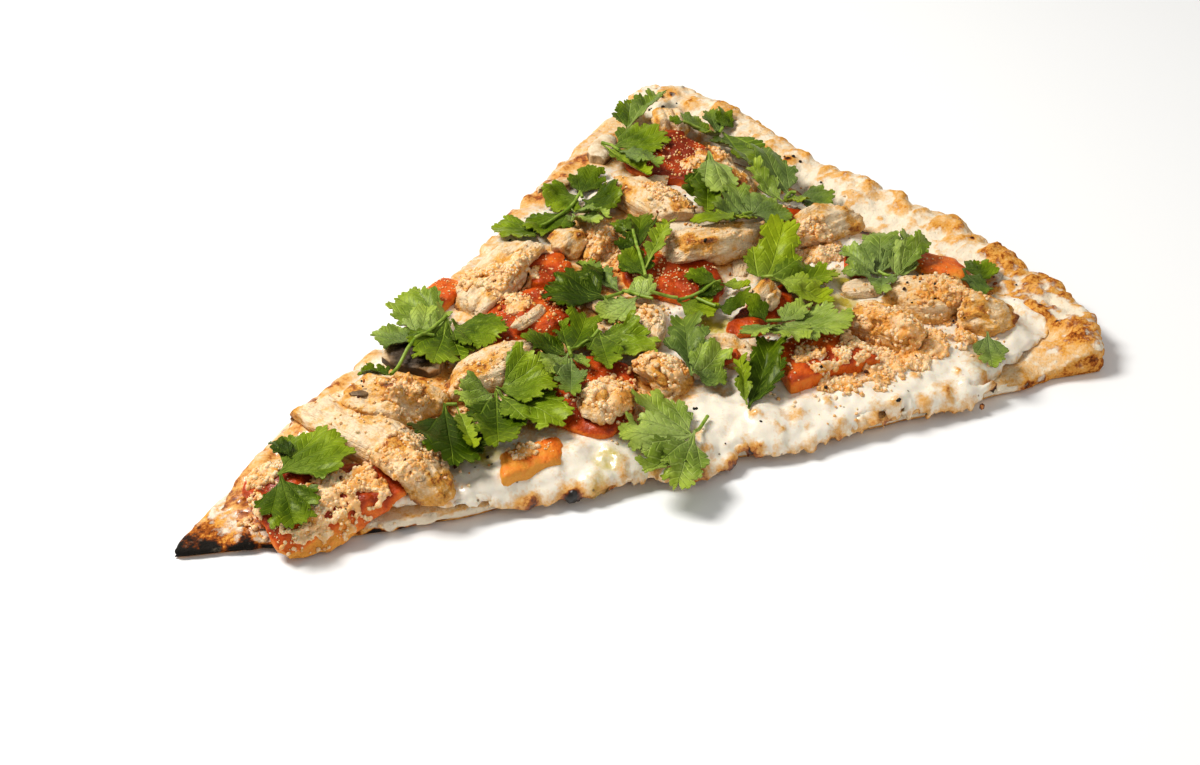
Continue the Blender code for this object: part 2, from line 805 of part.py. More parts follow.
def make_lump(name, outline, height, sides, material, ground, limp=0, droop=DROOP):
    """A low rounded lump: upright at its outline for a share of its height, then domed."""
    centre = outline.mean(axis=0)
    shoulder = centre + DOME[0] * (outline - centre)
    crown = centre + DOME[1] * (outline - centre)[::3]
    flat = np.vstack([outline, shoulder, crown, [centre]])
    shares = np.array([sides] * len(outline) + [0.5 + 0.5 * sides**0.5] * len(shoulder) + [1.0] * (len(crown) + 1))
    triangles = fill(outline, flat[len(outline) :])
    under = settle(flat, triangles, held_up(flat, ground, droop), ground)
    for _ in range(limp):
        under = settle(flat, triangles, softened(under, triangles, 0.5), ground)
    tilt, *_ = np.linalg.lstsq(np.column_stack([flat, np.ones(len(flat))]), under, rcond=None)
    rest = np.column_stack([flat, np.ones(len(flat))]) @ tilt
    bumps = np.array([noise.noise(Vector((*place / 4, 1.7 * height))) for place in flat])
    rise = height * shares * (1 + 0.2 * bumps)
    over = np.maximum(rest + rise, under + 0.55 * rise)
    return sheet(name, flat, under, over, triangles, material, ground)


def make_tomato(ground):
    flesh = finish("tomato", (0.62, 0.1, 0.03), 0.3)
    tip = curve_through([*TIP_TOMATO, TIP_TOMATO[0]], TIP_STEP)
    make_lump("tomato_tip", tip, 3.6, 0.75, flesh, ground, limp=2, droop=BREAD + CHEESE)
    for number, (x, y, heading, length, width, height) in enumerate(TOMATO, 1):
        outline = lump_outline(x, y, heading, length, width, 100 + number, 0.7)
        make_lump(f"tomato_{number:02}", outline, height, 0.75, flesh, ground, limp=1)


def make_mushroom(ground):
    flesh = finish("mushroom", (0.78, 0.66, 0.5), 0.5)
    for number, (x, y, heading, length, width, height) in enumerate(MUSHROOM, 1):
        outline = lump_outline(x, y, heading, length, width, 200 + number, 0.5)
        make_lump(f"mushroom_{number:02}", outline, height, 0.7, flesh, ground, limp=1)


def make_chicken(ground):
    meat = finish("chicken", (0.78, 0.58, 0.36), 0.6)
    for number, (x, y, heading, length, width, height) in enumerate(CHICKEN, 1):
        outline = lump_outline(x, y, heading, length, width, 300 + number)
        make_lump(f"chicken_{number:02}", outline, height, 0.45, meat, ground)


def make_sprig(name, leaflets, stems, seed, material, ground):
    """One thin leaf with all its leaflets, draped over what is below it."""
    polygons = [leaflet_outline(*leaflet) for leaflet in leaflets]
    polygons += [hub_outline(*base) for base in {leaflet[:2] for leaflet in leaflets}]
    polygons += [stem_outline(*stem) for stem in stems]
    outline = merged_outline(polygons, 1.5)
    inner = grid_inside(outline, LEAF_GRID, 1.5)
    flat = np.array([*outline, *inner])
    triangles = fill(outline, inner)
    under = settle(flat, triangles, held_up(flat, ground, DROOP), ground)
    for _ in range(6):
        under = settle(flat, triangles, softened(under, triangles, 0.5), ground)
    reach = np.min([np.linalg.norm(flat - leaflet[:2], axis=1) for leaflet in leaflets], axis=0)
    ripple = np.array([1 + noise.noise(Vector((*place / 5, seed))) for place in flat])
    under += ripple * (reach / 16).clip(0, 1.2) * LEAF_RIPPLE
    return sheet(name, flat, under, under + LEAF, triangles, material, ground)


def make_leaves(ground):
    green = finish("leaf", (0.13, 0.3, 0.03), 0.5)
    for number, (leaflets, stems) in enumerate(SPRIGS, 1):
        make_sprig(f"leaf_{number:02}", leaflets, stems, 40.5 + number, green, ground)


# Crumbs that are part of what they lie on


def make_crumb(place, radius, draw):
    mesh = bpy.data.meshes.new("crumb")
    shape = bmesh.new()
    bmesh.ops.create_icosphere(shape, subdivisions=1, radius=radius * MM)
    for vertex in shape.verts:
        vertex.co *= draw.uniform(0.8, 1.2)
    shape.to_mesh(mesh)
    shape.free()
    crumb = bpy.data.objects.new("crumb", mesh)
    crumb.location = Vector(place) * MM
    crumb.rotation_euler = [draw.uniform(0, math.tau) for _ in range(3)]
    return crumb


def crumbs_by_host(ground):
    """Draws crumbs in each clump, and sorts them by the piece on which they lie."""
    draw = random.Random(11)
    taken, found = [], {}
    for x, y, spread, wanted in CLUMPS:
        for _ in range(wanted * 30):
            radius = draw.uniform(*CRUMB)
            angle, out = draw.uniform(0, math.tau), spread * math.sqrt(draw.random())
            place = np.array((x + out * math.cos(angle), y + out * math.sin(angle)))
            apart = [np.linalg.norm(place - other) > radius + size + 0.5 for other, size in taken]
            column, row = ground.cell_of(*place)
            reach = round((1.3 * radius + 0.8) / ground.CELL)
            around = ground.owner[column - reach : column + reach + 1, row - reach : row + reach + 1]
            host = around[reach, reach]
            alone = (around == host).all() and not host.startswith(("leaf", "crust"))
            if not (all(apart) and host and alone):
                continue
            found.setdefault(host, []).append(((*place, ground.height[column, row] + 0.1), radius))
            taken.append((place, radius))
            wanted -= 1
            if not wanted:
                break
    return found


def fuse_crumbs(ground):
    draw = random.Random(12)
    for host, crumbs in crumbs_by_host(ground).items():
        heap = bpy.data.collections.new("crumbs")
        for place, radius in crumbs:
            heap.objects.link(make_crumb(place, radius, draw))
        bpy.context.scene.collection.children.link(heap)
        body = bpy.data.objects[host]
        join = body.modifiers.new("crumbs", "BOOLEAN")
        join.operation = "UNION"
        join.operand_type = "COLLECTION"
        join.collection = heap
        bpy.context.view_layer.objects.active = body
        bpy.ops.object.modifier_apply(modifier=join.name)
        for crumb in list(heap.objects):
            bpy.data.objects.remove(crumb, do_unlink=True)
        bpy.data.collections.remove(heap)


def centre_on_origin():
    """Hangs every piece on one empty, which puts the middle of the underside at the origin."""
    pieces = list(bpy.context.scene.collection.objects)
    corners = np.array([vertex.co for piece in pieces for vertex in piece.data.vertices])
    middle = (corners.min(axis=0) + corners.max(axis=0)) / 2
    whole = bpy.data.objects.new("slice", None)
    whole.location = (-middle[0], -middle[1], 0)
    bpy.context.scene.collection.objects.link(whole)
    for piece in pieces:
        piece.parent = whole


clear_scene()
laid = Ground()
make_bread(laid)
make_cheese(laid)
make_tomato(laid)
make_mushroom(laid)
make_chicken(laid)
make_leaves(laid)
fuse_crumbs(laid)
centre_on_origin()
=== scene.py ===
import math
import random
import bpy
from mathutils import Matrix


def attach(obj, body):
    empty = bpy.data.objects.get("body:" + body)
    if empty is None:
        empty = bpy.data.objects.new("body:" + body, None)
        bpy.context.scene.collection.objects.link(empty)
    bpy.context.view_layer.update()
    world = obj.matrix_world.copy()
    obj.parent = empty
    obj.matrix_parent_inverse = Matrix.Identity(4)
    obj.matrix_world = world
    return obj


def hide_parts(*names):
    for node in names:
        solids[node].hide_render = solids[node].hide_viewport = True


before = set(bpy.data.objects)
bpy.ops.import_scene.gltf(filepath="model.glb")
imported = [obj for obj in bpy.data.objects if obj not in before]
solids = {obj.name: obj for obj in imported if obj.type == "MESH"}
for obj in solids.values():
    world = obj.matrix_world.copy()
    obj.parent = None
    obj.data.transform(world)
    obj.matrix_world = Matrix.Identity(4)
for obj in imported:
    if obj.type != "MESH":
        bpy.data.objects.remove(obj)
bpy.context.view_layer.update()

# A cut slice of garlic chicken pizza. The sections follow the slice as it is put together: bread,
# melted cheese, tomato, mushroom, chicken, small scraps, crumbs, and last the herb leaves.
# Places are in millimetres from the tip of the slice: x runs along its middle towards the browned
# rim, y towards its far side, and z up from the underside.

from types import SimpleNamespace

import bmesh
import bpy
import numpy as np
from mathutils import Matrix, Vector
from mathutils.bvhtree import BVHTree
from mathutils.geometry import delaunay_2d_cdt

scene = bpy.context.scene


# ---- The view: camera, table and lights ------------------------------------------------------
# A long lens looks down on the slice from its near side. The table is plain and nearly white,
# under one large soft light at the back left, a weak one in front and a bright even surrounding.

MM = 0.001
CAMERA_AT = (-191.7, -384.0, 353.3)
CAMERA_AIM = (115.7, -9.0, 0.0)
LENS = 74.16
SENSOR = 36.0
TABLE_HALF = 1.6  # metres
TABLE_DROP = 0.0004  # metres from the slice down to the table
# Each light, as its place, its width in metres, its watts and its colour
LIGHTS = {
    "window_light": ((-150, 330, 620), 0.3, 5.9, (1.0, 0.985, 0.96)),
    "front_fill": ((160, -620, 420), 0.9, 1.2, (1.0, 0.99, 0.98)),
}
SURROUNDING = 0.31
EXPOSURE = -0.1

crust_corners = np.array([vertex.co for vertex in solids["crust"].data.vertices]) / MM
TIP = crust_corners[crust_corners[:, 0].argmin()] * (1, 1, 0)


def in_metres(*place):
    """A place of the slice, in the scene's own metres."""
    return Vector((np.array(place) + TIP) * MM)


def look(thing, at, aim):
    """Puts a camera or a light at a place, turned towards another, and into the scene."""
    thing.location = in_metres(*at)
    thing.rotation_euler = (in_metres(*aim) - thing.location).to_track_quat("-Z", "Y").to_euler()
    scene.collection.objects.link(thing)


def set_inputs(tree, made, inputs):
    """Sets the inputs of a node to values, or links them where another node feeds them."""
    for name, value in inputs.items():
        if isinstance(value, bpy.types.NodeSocket):
            tree.links.new(value, made.inputs[name])
        else:
            made.inputs[name].default_value = value


def node(tree, kind, inputs=None, **settings):
    """One shader node, with its settings and with what feeds each of its inputs."""
    made = tree.nodes.new(kind)
    for name, value in settings.items():
        setattr(made, name, value)
    set_inputs(tree, made, inputs or {})
    return made


def new_material(name):
    """A material, its tree and its empty surface shader."""
    made = bpy.data.materials.new(name)
    made.use_nodes = True
    return made, made.node_tree, made.node_tree.nodes["Principled BSDF"]


def feed(tree, made, **inputs):
    """Sets or links a node's inputs, named with underscores for spaces."""
    set_inputs(tree, made, {name.replace("_", " "): value for name, value in inputs.items()})


def new_piece(name, mesh):
    """A new thing in the scene, made of a mesh."""
    made = bpy.data.objects.new(name, mesh)
    scene.collection.objects.link(made)
    return made


def make_table():
    corners = ((-1, -1), (1, -1), (1, 1), (-1, 1))
    mesh = bpy.data.meshes.new("table")
    mesh.from_pydata([(x * TABLE_HALF, y * TABLE_HALF, -TABLE_DROP) for x, y in corners], [], [(0, 1, 2, 3)])
    table = new_piece("table", mesh)
    made, tree, shader = new_material("pale_table")
    feed(tree, shader, Base_Color=(0.9, 0.9, 0.89, 1), Roughness=0.7)
    mesh.materials.append(made)


def make_light(name, at, width, watts, colour):
    lamp = bpy.data.lights.new(name, "AREA")
    lamp.shape = "DISK"
    lamp.size = width
    lamp.energy = watts
    lamp.color = colour
    look(bpy.data.objects.new(name, lamp), at, CAMERA_AIM)


def make_surrounding():
    scene.world = bpy.data.worlds.new("surrounding")
    scene.world.use_nodes = True
    even = scene.world.node_tree.nodes["Background"]
    even.inputs["Color"].default_value = (1, 1, 1, 1)
    even.inputs["Strength"].default_value = SURROUNDING


lens = bpy.data.cameras.new("camera")
lens.lens = LENS
lens.sensor_width = SENSOR
lens.clip_start = 0.01
scene.camera = bpy.data.objects.new("camera", lens)
look(scene.camera, CAMERA_AT, CAMERA_AIM)
make_table()
for name, light in LIGHTS.items():
    make_light(name, *light)
make_surrounding()
scene.view_settings.view_transform = "Standard"
scene.view_settings.look = "Medium High Contrast"
scene.view_settings.exposure = EXPOSURE


# ---- The bread -------------------------------------------------------------------------------
# Thin baked dough. Its cut sides show the crumb, its rim is puffed, blistered and browned, and
# its tip and lower edges are charred. It is the solid's own mesh, cut finer where it shows.

FINER = 5  # cuts across each edge that shows
NEAR_CUT = (0.38, 0.925)  # the way in from the near cut side
# The line where the flat bread rises to the rim, as places along it
RIM_INNER_EDGE = ((212, -88), (214, -70), (212, -50), (212, -24), (210, 0), (206, 24), (205, 50), (203, 90))
# Browned spots on the rim, as (x, y, radius, how dark)
RIM_TOAST = (
    (213.5, -61.7, 4.5, 0.9), (214.8, -74.6, 4.0, 0.6), (224.4, -29.1, 3.0, 0.8), (212.4, 29.2, 4.5, 0.55),
    (220.1, -6.1, 4.0, 0.6), (219.3, 4.2, 4.0, 0.45), (218.4, 14.8, 3.5, 0.55), (221.2, -19.7, 4.0, 0.5),
    (220.4, -41.7, 4.5, 0.5), (216.5, -52.1, 3.5, 0.45), (211.0, 78.4, 5.0, 0.7), (212.7, 69.6, 4.0, 0.5),
    (214.8, 59.2, 4.0, 0.5), (209.8, -76.7, 4.0, 0.6), (206.0, 64.0, 3.5, 0.45), (209.0, 44.0, 4.5, 0.45),
)  # fmt: skip
# Black specks on it, as (x, y, radius)
BLACK_SPECKS = (
    (213.5, -61.7, 1.0), (223.6, -29.1, 0.9), (212.4, 29.2, 0.8), (211.3, 81.8, 1.4), (211.8, 76.2, 1.0),
    (213.0, -68.0, 0.8), (205.3, -0.6, 0.7), (214.1, 64.8, 0.8), (215.8, 54.1, 0.9), (217.0, 78.0, 1.2),
)  # fmt: skip
# Charred stretches of the lower edge, as (x, y, radius)
CHARRED = (
    (0.5, 1.5, 5.5), (6.5, -4.5, 5.0), (13.0, -9.0, 5.0), (20.5, -12.5, 5.0), (77.0, -39.5, 5.0),
    (84.0, -42.5, 4.0), (95.0, -48.5, 4.5), (160.5, -70.0, 4.0), (166.0, -72.0, 4.0), (40.0, -21.5, 3.4),
    (47.0, -24.5, 2.6), (54.0, -28.0, 3.2), (63.0, -32.5, 3.4), (30.5, 14.5, 2.4), (3.0, 3.5, 2.5),
)  # fmt: skip
# How dark the bread is at each x from the tip
TIP_TOAST = ((0, 1.2), (3, 1.0), (6, 0.8), (10, 0.64), (30, 0.5), (42, 0.25))
TOAST_LIMIT = 0.6  # as brown as the bread gets, apart from its tip and its black spots
RIM_TOAST_LIMIT = 0.44  # and as brown as the top of its rim gets
UP = Vector((0, 0, 1))


def fetched(items, field, width, kind=np.float32):
    """One field of many points or edges, as rows."""
    flat = np.empty(len(items) * width, kind)
    items.foreach_get(field, flat)
    return flat.reshape(-1, width)


def read(mesh):
    """The points of a mesh, in millimetres from the tip."""
    return fetched(mesh.vertices, "co", 3).astype(float) / MM - TIP


def write(mesh, points):
    mesh.vertices.foreach_set("co", ((points + TIP) * MM).astype(np.float32).ravel())
    mesh.update()


def normals(mesh):
    return fetched(mesh.vertex_normals, "vector", 3).astype(float)


def edges(mesh):
    """The two ends of every edge, as two rows."""
    return fetched(mesh.edges, "vertices", 2, np.int32).T


def eased(values, pairs, share):
    """Values drawn towards the mean of their neighbours, all by one share or each by its own."""
    a, b = pairs
    count = np.bincount(a, minlength=len(values)) + np.bincount(b, minlength=len(values))
    total = np.bincount(a, values[b], len(values)) + np.bincount(b, values[a], len(values))
    return values + share * (total / count.clip(1) - values)


def relaxed(mesh, points, times, share=0.6):
    """The points drawn towards the mean of their neighbours."""
    pairs = edges(mesh)
    for _ in range(times):
        points = np.column_stack([eased(points[:, k], pairs, share) for k in range(3)])
    return points


def waves(points, size, seed):
    """Smooth random values from -1 to 1 at the points, with bumps about the given size."""
    spot = points / size + seed * 7.31
    corner = np.floor(spot).astype(np.int64)
    part = spot - corner
    part = part * part * part * (part * (part * 6 - 15) + 10)
    total = np.zeros(len(points))
    for step in np.ndindex(2, 2, 2):
        key = (corner + step) @ np.array((73856093, 19349663, 83492791))
        key = (key ^ (key >> 15)) * 2246822519 % 4294967291
        key = (key ^ (key >> 13)) * 3266489917 % 4294967291
        total += (key % 65536 / 32767.5 - 1) * np.where(step, part, 1 - part).prod(axis=1)
    return total


def smooth(values, low, high):
    """0 up to low, 1 from high, and a soft rise between."""
    share = ((values - low) / (high - low)).clip(0, 1)
    return share * share * (3 - 2 * share)


def spots(points, places):
    """How near each point is to the middle of a spot: 1 there, and 0 from its radius outward."""
    found = np.zeros(len(points))
    for x, y, radius, *strength in places:
        away = np.hypot(points[:, 0] - x, points[:, 1] - y) / radius
        found = np.maximum(found, (1 - away**2).clip(0) * (strength or [1])[0])
    return found


def keep_mask(mesh, name, values):
    """Keeps a value for each point, which the material reads by name."""
    mesh.attributes.new(name, "FLOAT", "POINT").data.foreach_set("value", np.asarray(values, np.float32))


def mask_of(tree, name):
    return node(tree, "ShaderNodeAttribute", attribute_name=name).outputs["Fac"]


def place_in_mm(tree):
    """The place on the slice in millimetres, for patterns."""
    here = node(tree, "ShaderNodeTexCoord").outputs["Object"]
    enlarged = {0: here, 1: (1 / MM, 1 / MM, 1 / MM)}
    return node(tree, "ShaderNodeVectorMath", enlarged, operation="MULTIPLY").outputs[0]


def sums(tree, operation, *values):
    """A Math node's result."""
    return node(tree, "ShaderNodeMath", dict(enumerate(values)), operation=operation).outputs[0]


def clamped(tree, value):
    return node(tree, "ShaderNodeClamp", {"Value": value}).outputs[0]


def stretched(tree, value, low, high, at_low=0.0, at_high=1.0):
    """The value moved from one range to another, and kept within it."""
    inputs = {"Value": value, "From Min": low, "From Max": high, "To Min": at_low, "To Max": at_high}
    return node(tree, "ShaderNodeMapRange", inputs).outputs[0]


def noise(tree, place, size, detail=3.0, rough=0.6, warp=0.0):
    """Noise from 0 to 1 with patches about the given size in millimetres."""
    inputs = {"Vector": place, "Scale": 1 / size, "Detail": detail, "Roughness": rough, "Distortion": warp}
    return node(tree, "ShaderNodeTexNoise", inputs).outputs["Fac"]


def ramp(tree, value, *stops):
    """A colour for each value, between the stops."""
    made = node(tree, "ShaderNodeValToRGB", {"Fac": value})
    for at, colour in stops[2:]:
        made.color_ramp.elements.new(at)
    for element, (at, colour) in zip(made.color_ramp.elements, stops):
        element.position = at
        element.color = (*colour, 1)
    return made.outputs["Color"]


def mix(tree, share, one, other):
    """One colour, then the other as the share goes from 0 to 1."""
    return node(tree, "ShaderNodeMix", {"Factor": share, 6: one, 7: other}, data_type="RGBA").outputs[2]


def effect(name, inputs, outputs):
    """An empty node group with its sockets, for an effect that several materials share."""
    tree = bpy.data.node_groups.new(name, "ShaderNodeTree")
    kinds = {"colour": "NodeSocketColor", "number": "NodeSocketFloat", "place": "NodeSocketVector"}
    for side, sockets in (("INPUT", inputs), ("OUTPUT", outputs)):
        for label, kind in sockets.items():
            tree.interface.new_socket(label, in_out=side, socket_type=kinds[kind])
    return tree, tree.nodes.new("NodeGroupInput").outputs, tree.nodes.new("NodeGroupOutput").inputs


def make_toasting():
    """Browning: from the plain colour through gold and brown to black, in ragged patches."""
    sockets = {"Plain": "colour", "Gold": "colour", "Toast": "number", "Ragged": "number", "Place": "place"}
    tree, given, result = effect("toasting", sockets, {"Colour": "colour", "Level": "number"})
    patches = sums(tree, "SUBTRACT", noise(tree, given["Place"], 2.6, 5.0, 0.62), 0.5)
    fine = sums(tree, "SUBTRACT", noise(tree, given["Place"], 0.7, 3.0), 0.5)
    uneven = sums(tree, "MULTIPLY_ADD", fine, 0.5, patches)
    level = clamped(tree, sums(tree, "MULTIPLY_ADD", uneven, given["Ragged"], given["Toast"]))
    dark = ramp(tree, level, (0.5, (0.62, 0.25, 0.035)), (0.66, (0.36, 0.1, 0.01)),
                (0.8, (0.1, 0.024, 0.004)), (0.95, (0.012, 0.009, 0.006)))  # fmt: skip
    golden = mix(tree, stretched(tree, level, 0.12, 0.45), given["Plain"], given["Gold"])
    tree.links.new(mix(tree, stretched(tree, level, 0.45, 0.62), golden, dark), result["Colour"])
    tree.links.new(level, result["Level"])
    return tree


def make_grain():
    """Small relief: soft bumps, pores and fine roughness, as a height from 0 to 1."""
    sockets = {"Size": "number", "Pores": "number", "Place": "place"}
    tree, given, result = effect("grain", sockets, {"Height": "number"})
    size = node(tree, "ShaderNodeCombineXYZ", {"X": given["Size"], "Y": given["Size"], "Z": given["Size"]})
    scaled = {0: given["Place"], 1: size.outputs[0]}
    scaled = node(tree, "ShaderNodeVectorMath", scaled, operation="DIVIDE").outputs[0]
    bumps = noise(tree, scaled, 1.0, 6.0, 0.6)
    cells = node(tree, "ShaderNodeTexVoronoi", {"Vector": scaled, "Scale": 1.3, "Randomness": 1.0})
    pits = sums(tree, "SUBTRACT", stretched(tree, cells.outputs["Distance"], 0.0, 0.35), 1.0)
    tree.links.new(sums(tree, "MULTIPLY_ADD", pits, given["Pores"], bumps), result["Height"])
    return tree


toasting = make_toasting()
grain = make_grain()


def use(tree, group, **inputs):
    """Places a shared effect in a material, with its own values."""
    made = node(tree, "ShaderNodeGroup", node_tree=group)
    feed(tree, made, **inputs)
    return made.outputs


def toasted(tree, place, plain, gold, ragged):
    """A surface's colour, browned as far as its mask says."""
    toast = mask_of(tree, "toast")
    browned = use(tree, toasting, Plain=(*plain, 1), Gold=(*gold, 1), Toast=toast, Ragged=ragged, Place=place)
    return browned["Colour"]


def grain_height(tree, place, size, pores):
    return use(tree, grain, Size=size, Pores=pores, Place=place)["Height"]


def relief(tree, height, depth):
    """A bump of the given depth in millimetres."""
    inputs = {"Height": height, "Distance": depth * MM, "Strength": 1.0}
    return node(tree, "ShaderNodeBump", inputs).outputs["Normal"]


def bread_material():
    made, tree, shader = new_material("baked_bread")
    place = place_in_mm(tree)
    colour = toasted(tree, place, (0.8, 0.6, 0.37), (0.72, 0.36, 0.075), 1.1)
    flour = sums(tree, "MULTIPLY", stretched(tree, noise(tree, place, 3.4, 4.0), 0.55, 0.8), 0.35)
    colour = mix(tree, flour, colour, (0.86, 0.74, 0.53, 1))
    runs = sums(tree, "MULTIPLY_ADD", mask_of(tree, "smeared"), 0.75, noise(tree, place, 2.6, 4.0))
    runs = sums(tree, "MULTIPLY", stretched(tree, runs, 0.84, 1.02), 0.92)
    colour = mix(tree, runs, colour, (0.83, 0.74, 0.58, 1))
    height = grain_height(tree, place, 0.8, 0.5)
    feed(tree, shader, Base_Color=colour, Roughness=0.72, Specular_IOR_Level=0.2, Subsurface_Weight=0.08,
         Subsurface_Radius=(0.002, 0.001, 0.0006), Normal=relief(tree, height, 0.3))  # fmt: skip
    return made


def cut_finer(mesh, shows, cuts):
    """Cuts the faces that show into small ones."""
    shape = bmesh.new()
    shape.from_mesh(mesh)
    bmesh.ops.remove_doubles(shape, verts=shape.verts, dist=0.01 * MM)
    chosen = {edge for face in shape.faces if shows(face) for edge in face.edges}
    bmesh.ops.subdivide_edges(shape, edges=list(chosen), cuts=cuts, use_grid_fill=True)
    bmesh.ops.triangulate(shape, faces=[face for face in shape.faces if len(face.verts) > 4])
    shape.to_mesh(mesh)
    shape.free()


def faces_of(things):
    """The faces of solids or pieces, for finding what is above, below or near a place."""
    points, faces = [], []
    for thing in things:
        first = len(points)
        points.extend(vertex.co for vertex in thing.data.vertices)
        faces.extend([first + corner for corner in face.vertices] for face in thing.data.polygons)
    return BVHTree.FromPolygons(points, faces)


def dress(piece, slot, solid, *materials):
    """Gives a piece its finish, and puts it in the place of its solid where it has one."""
    for material in materials:
        piece.data.materials.append(material)
    piece.data.shade_smooth()
    if solid:
        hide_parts(solid)
    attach(piece, "root")
    return piece


def free_to_move(mesh, points):
    """1 where the mesh is fine and clear of the table, and 0 where its points stay in place."""
    a, b = edges(mesh)
    lengths = np.linalg.norm(points[a] - points[b], axis=1)
    longest = np.zeros(len(points))
    np.maximum.at(longest, a, lengths)
    np.maximum.at(longest, b, lengths)
    return smooth(-longest, -2.6, -1.4) * smooth(points[:, 2], 0.05, 0.6)


def bread_parts(points, out):
    """The rim's inner edge at each point, and how far each point belongs to each part of the bread."""
    x, y, _ = points.T
    side = 1 - smooth(np.abs(out[:, 2]), 0.35, 0.8)
    inner_x, inner_y = zip(*RIM_INNER_EDGE)
    inner = np.interp(y, inner_y, inner_x)
    return SimpleNamespace(
        inner=inner,
        side=side,
        rim=smooth(x - inner, -6, 3),
        melted=side * smooth(x, 28, 40) * (1 - smooth(x, 190, 205)) * (y < 0),
        landing=smooth(x, 190, 198) * (y < -35) * (1 - side),
    )


def bread_bumps(points, part):
    """How high the dough has puffed and blistered, with the cheese that has run over its side."""
    bumps = 0.7 * waves(points, 6.5, 1) + 0.4 * waves(points, 3.1, 2) + 0.22 * waves(points, 1.6, 3)
    bumps += (0.7 * np.abs(waves(points, 9.0, 4)) + 0.9 * np.abs(waves(points, 2.8, 6))) * part.rim
    bumps += 0.5 * np.abs(waves(points, 1.5, 10)) * part.rim
    bumps += 0.6 * part.melted * (1 + waves(points, 3.6, 16))
    bumps += part.landing * (0.2 + 0.6 * np.abs(waves(points, 3.4, 17)) + 0.4 * waves(points, 1.8, 18))
    return bumps


def bread_toast(points, out, part, bumps, cut_side, char):
    """How brown each point is: 0 for pale dough, and black from 1."""
    x, _, z = points.T
    outer = smooth(x, 192, 212) * part.side * smooth(waves(points, 4.0, 8), -0.6, 0.4)
    low = 1 - smooth(z, 0.4, 3.2)
    toast = 0.2 + 0.1 * part.rim + 0.2 * low * part.side + 0.22 * part.side + 0.25 * outer
    toast += 0.24 * spots(points, RIM_TOAST) + 0.26 * smooth(bumps, 0.5, 1.4)
    on_rim = part.rim * smooth(out[:, 2], 0, 0.4) > 0.5
    toast = toast.clip(0, np.where(on_rim, RIM_TOAST_LIMIT, TOAST_LIMIT))
    at_tip = np.interp(x + 2.5 * waves(points, 2.6, 9), *zip(*TIP_TOAST))
    toast = np.where(x < TIP_TOAST[-1][0], at_tip + 0.12 * part.side, toast)
    runs = 0.3 * part.melted * smooth(waves(points, 4.4, 29), 0.1, 0.6)
    toast += 0.25 * cut_side + 0.12 * part.landing + runs
    toast = np.maximum(toast, 1.1 * spots(points, BLACK_SPECKS) ** 0.5)
    toast = np.maximum(toast, 1.25 * char)
    return np.where(out[:, 2] < -0.8, 0.45, toast)


def bread_char(points):
    """Where the lower edge is charred, from 0 to 1."""
    x, _, z = points.T
    ragged = z + 1.1 * waves(points, 2.0, 7) - 1.0 * (1 - smooth(x, 16, 26))
    return spots(points, CHARRED) ** 0.5 * np.maximum(1 - smooth(ragged, 0.5, 1.9), 1 - smooth(x, 4, 9))


def bread_smears(points, out, part, bumps):
    """Where cheese is smeared on the bread: down its side, over its tip and in the rim's hollows."""
    x, y, _ = points.T
    smeared = part.side * smooth(x, 32, 46) * (1 - smooth(x, 190, 205)) * (y < 0)
    smeared = np.maximum(smeared, 0.62 * smooth(x, 8, 15) * (x < 45) * smooth(out[:, 2], -0.1, 0.5))
    hollow = 1 - 0.4 * smooth(bumps, 0.7, 1.4) - 0.45 * spots(points, RIM_TOAST)
    hollow -= 0.3 * smooth(x - part.inner, 4, 10)
    smeared = np.maximum(smeared, 0.86 * part.rim * hollow.clip(0) * smooth(out[:, 2], 0.3, 0.8))
    return np.maximum(smeared, 0.5 * part.landing * (1 - part.rim))


def make_bread():
    mesh = solids["crust"].data.copy()
    mesh.materials.clear()
    roof = faces_of([solids["cheese"]])

    def shows(face):
        if face.normal.z < -0.9:
            return False
        return roof.ray_cast(face.calc_center_median(), UP)[0] is None

    cut_finer(mesh, shows, FINER)
    points = read(mesh)
    free = free_to_move(mesh, points)
    points = relaxed(mesh, points, 14, 0.6 * free)
    write(mesh, points)
    out = normals(mesh)
    part = bread_parts(points, out)
    bumps = bread_bumps(points, part)
    pores = smooth(waves(points, 2.3, 5), 0.35, 0.8) * part.side
    share = (0.35 + 0.65 * part.rim).clip(0, 1) + 0.4 * part.melted + 0.5 * part.landing
    share += 0.5 * (1 - smooth(points[:, 0], 20, 34))
    raised = share.clip(0, 1) * bumps - 0.7 * pores + 0.9 * spots(points, RIM_TOAST)
    points += out * (free * raised)[:, None]
    points[:, 2] = points[:, 2].clip(0)
    write(mesh, points)
    from_cut = NEAR_CUT[0] * points[:, 0] + NEAR_CUT[1] * points[:, 1]
    cut_side = (1 - smooth(from_cut, 1.5, 4)) * smooth(points[:, 0], 186, 198)
    char = bread_char(points)
    keep_mask(mesh, "toast", bread_toast(points, out, part, bumps, cut_side, char))
    keep_mask(mesh, "smeared", bread_smears(points, out, part, bumps) * (1 - char) * (1 - cut_side))
    return dress(new_piece("bread", mesh), "baked_bread", "crust", bread_material())


bread = make_bread()


# ---- The melted cheese -----------------------------------------------------------------------
# Mozzarella melted over the bread. It runs down the near side in drips, rises a little against
# whatever lies in it, and has golden spots and clear yellow pools of oil.

CHEESE_SQUARES = 0.85  # the side of the squares that it is built from
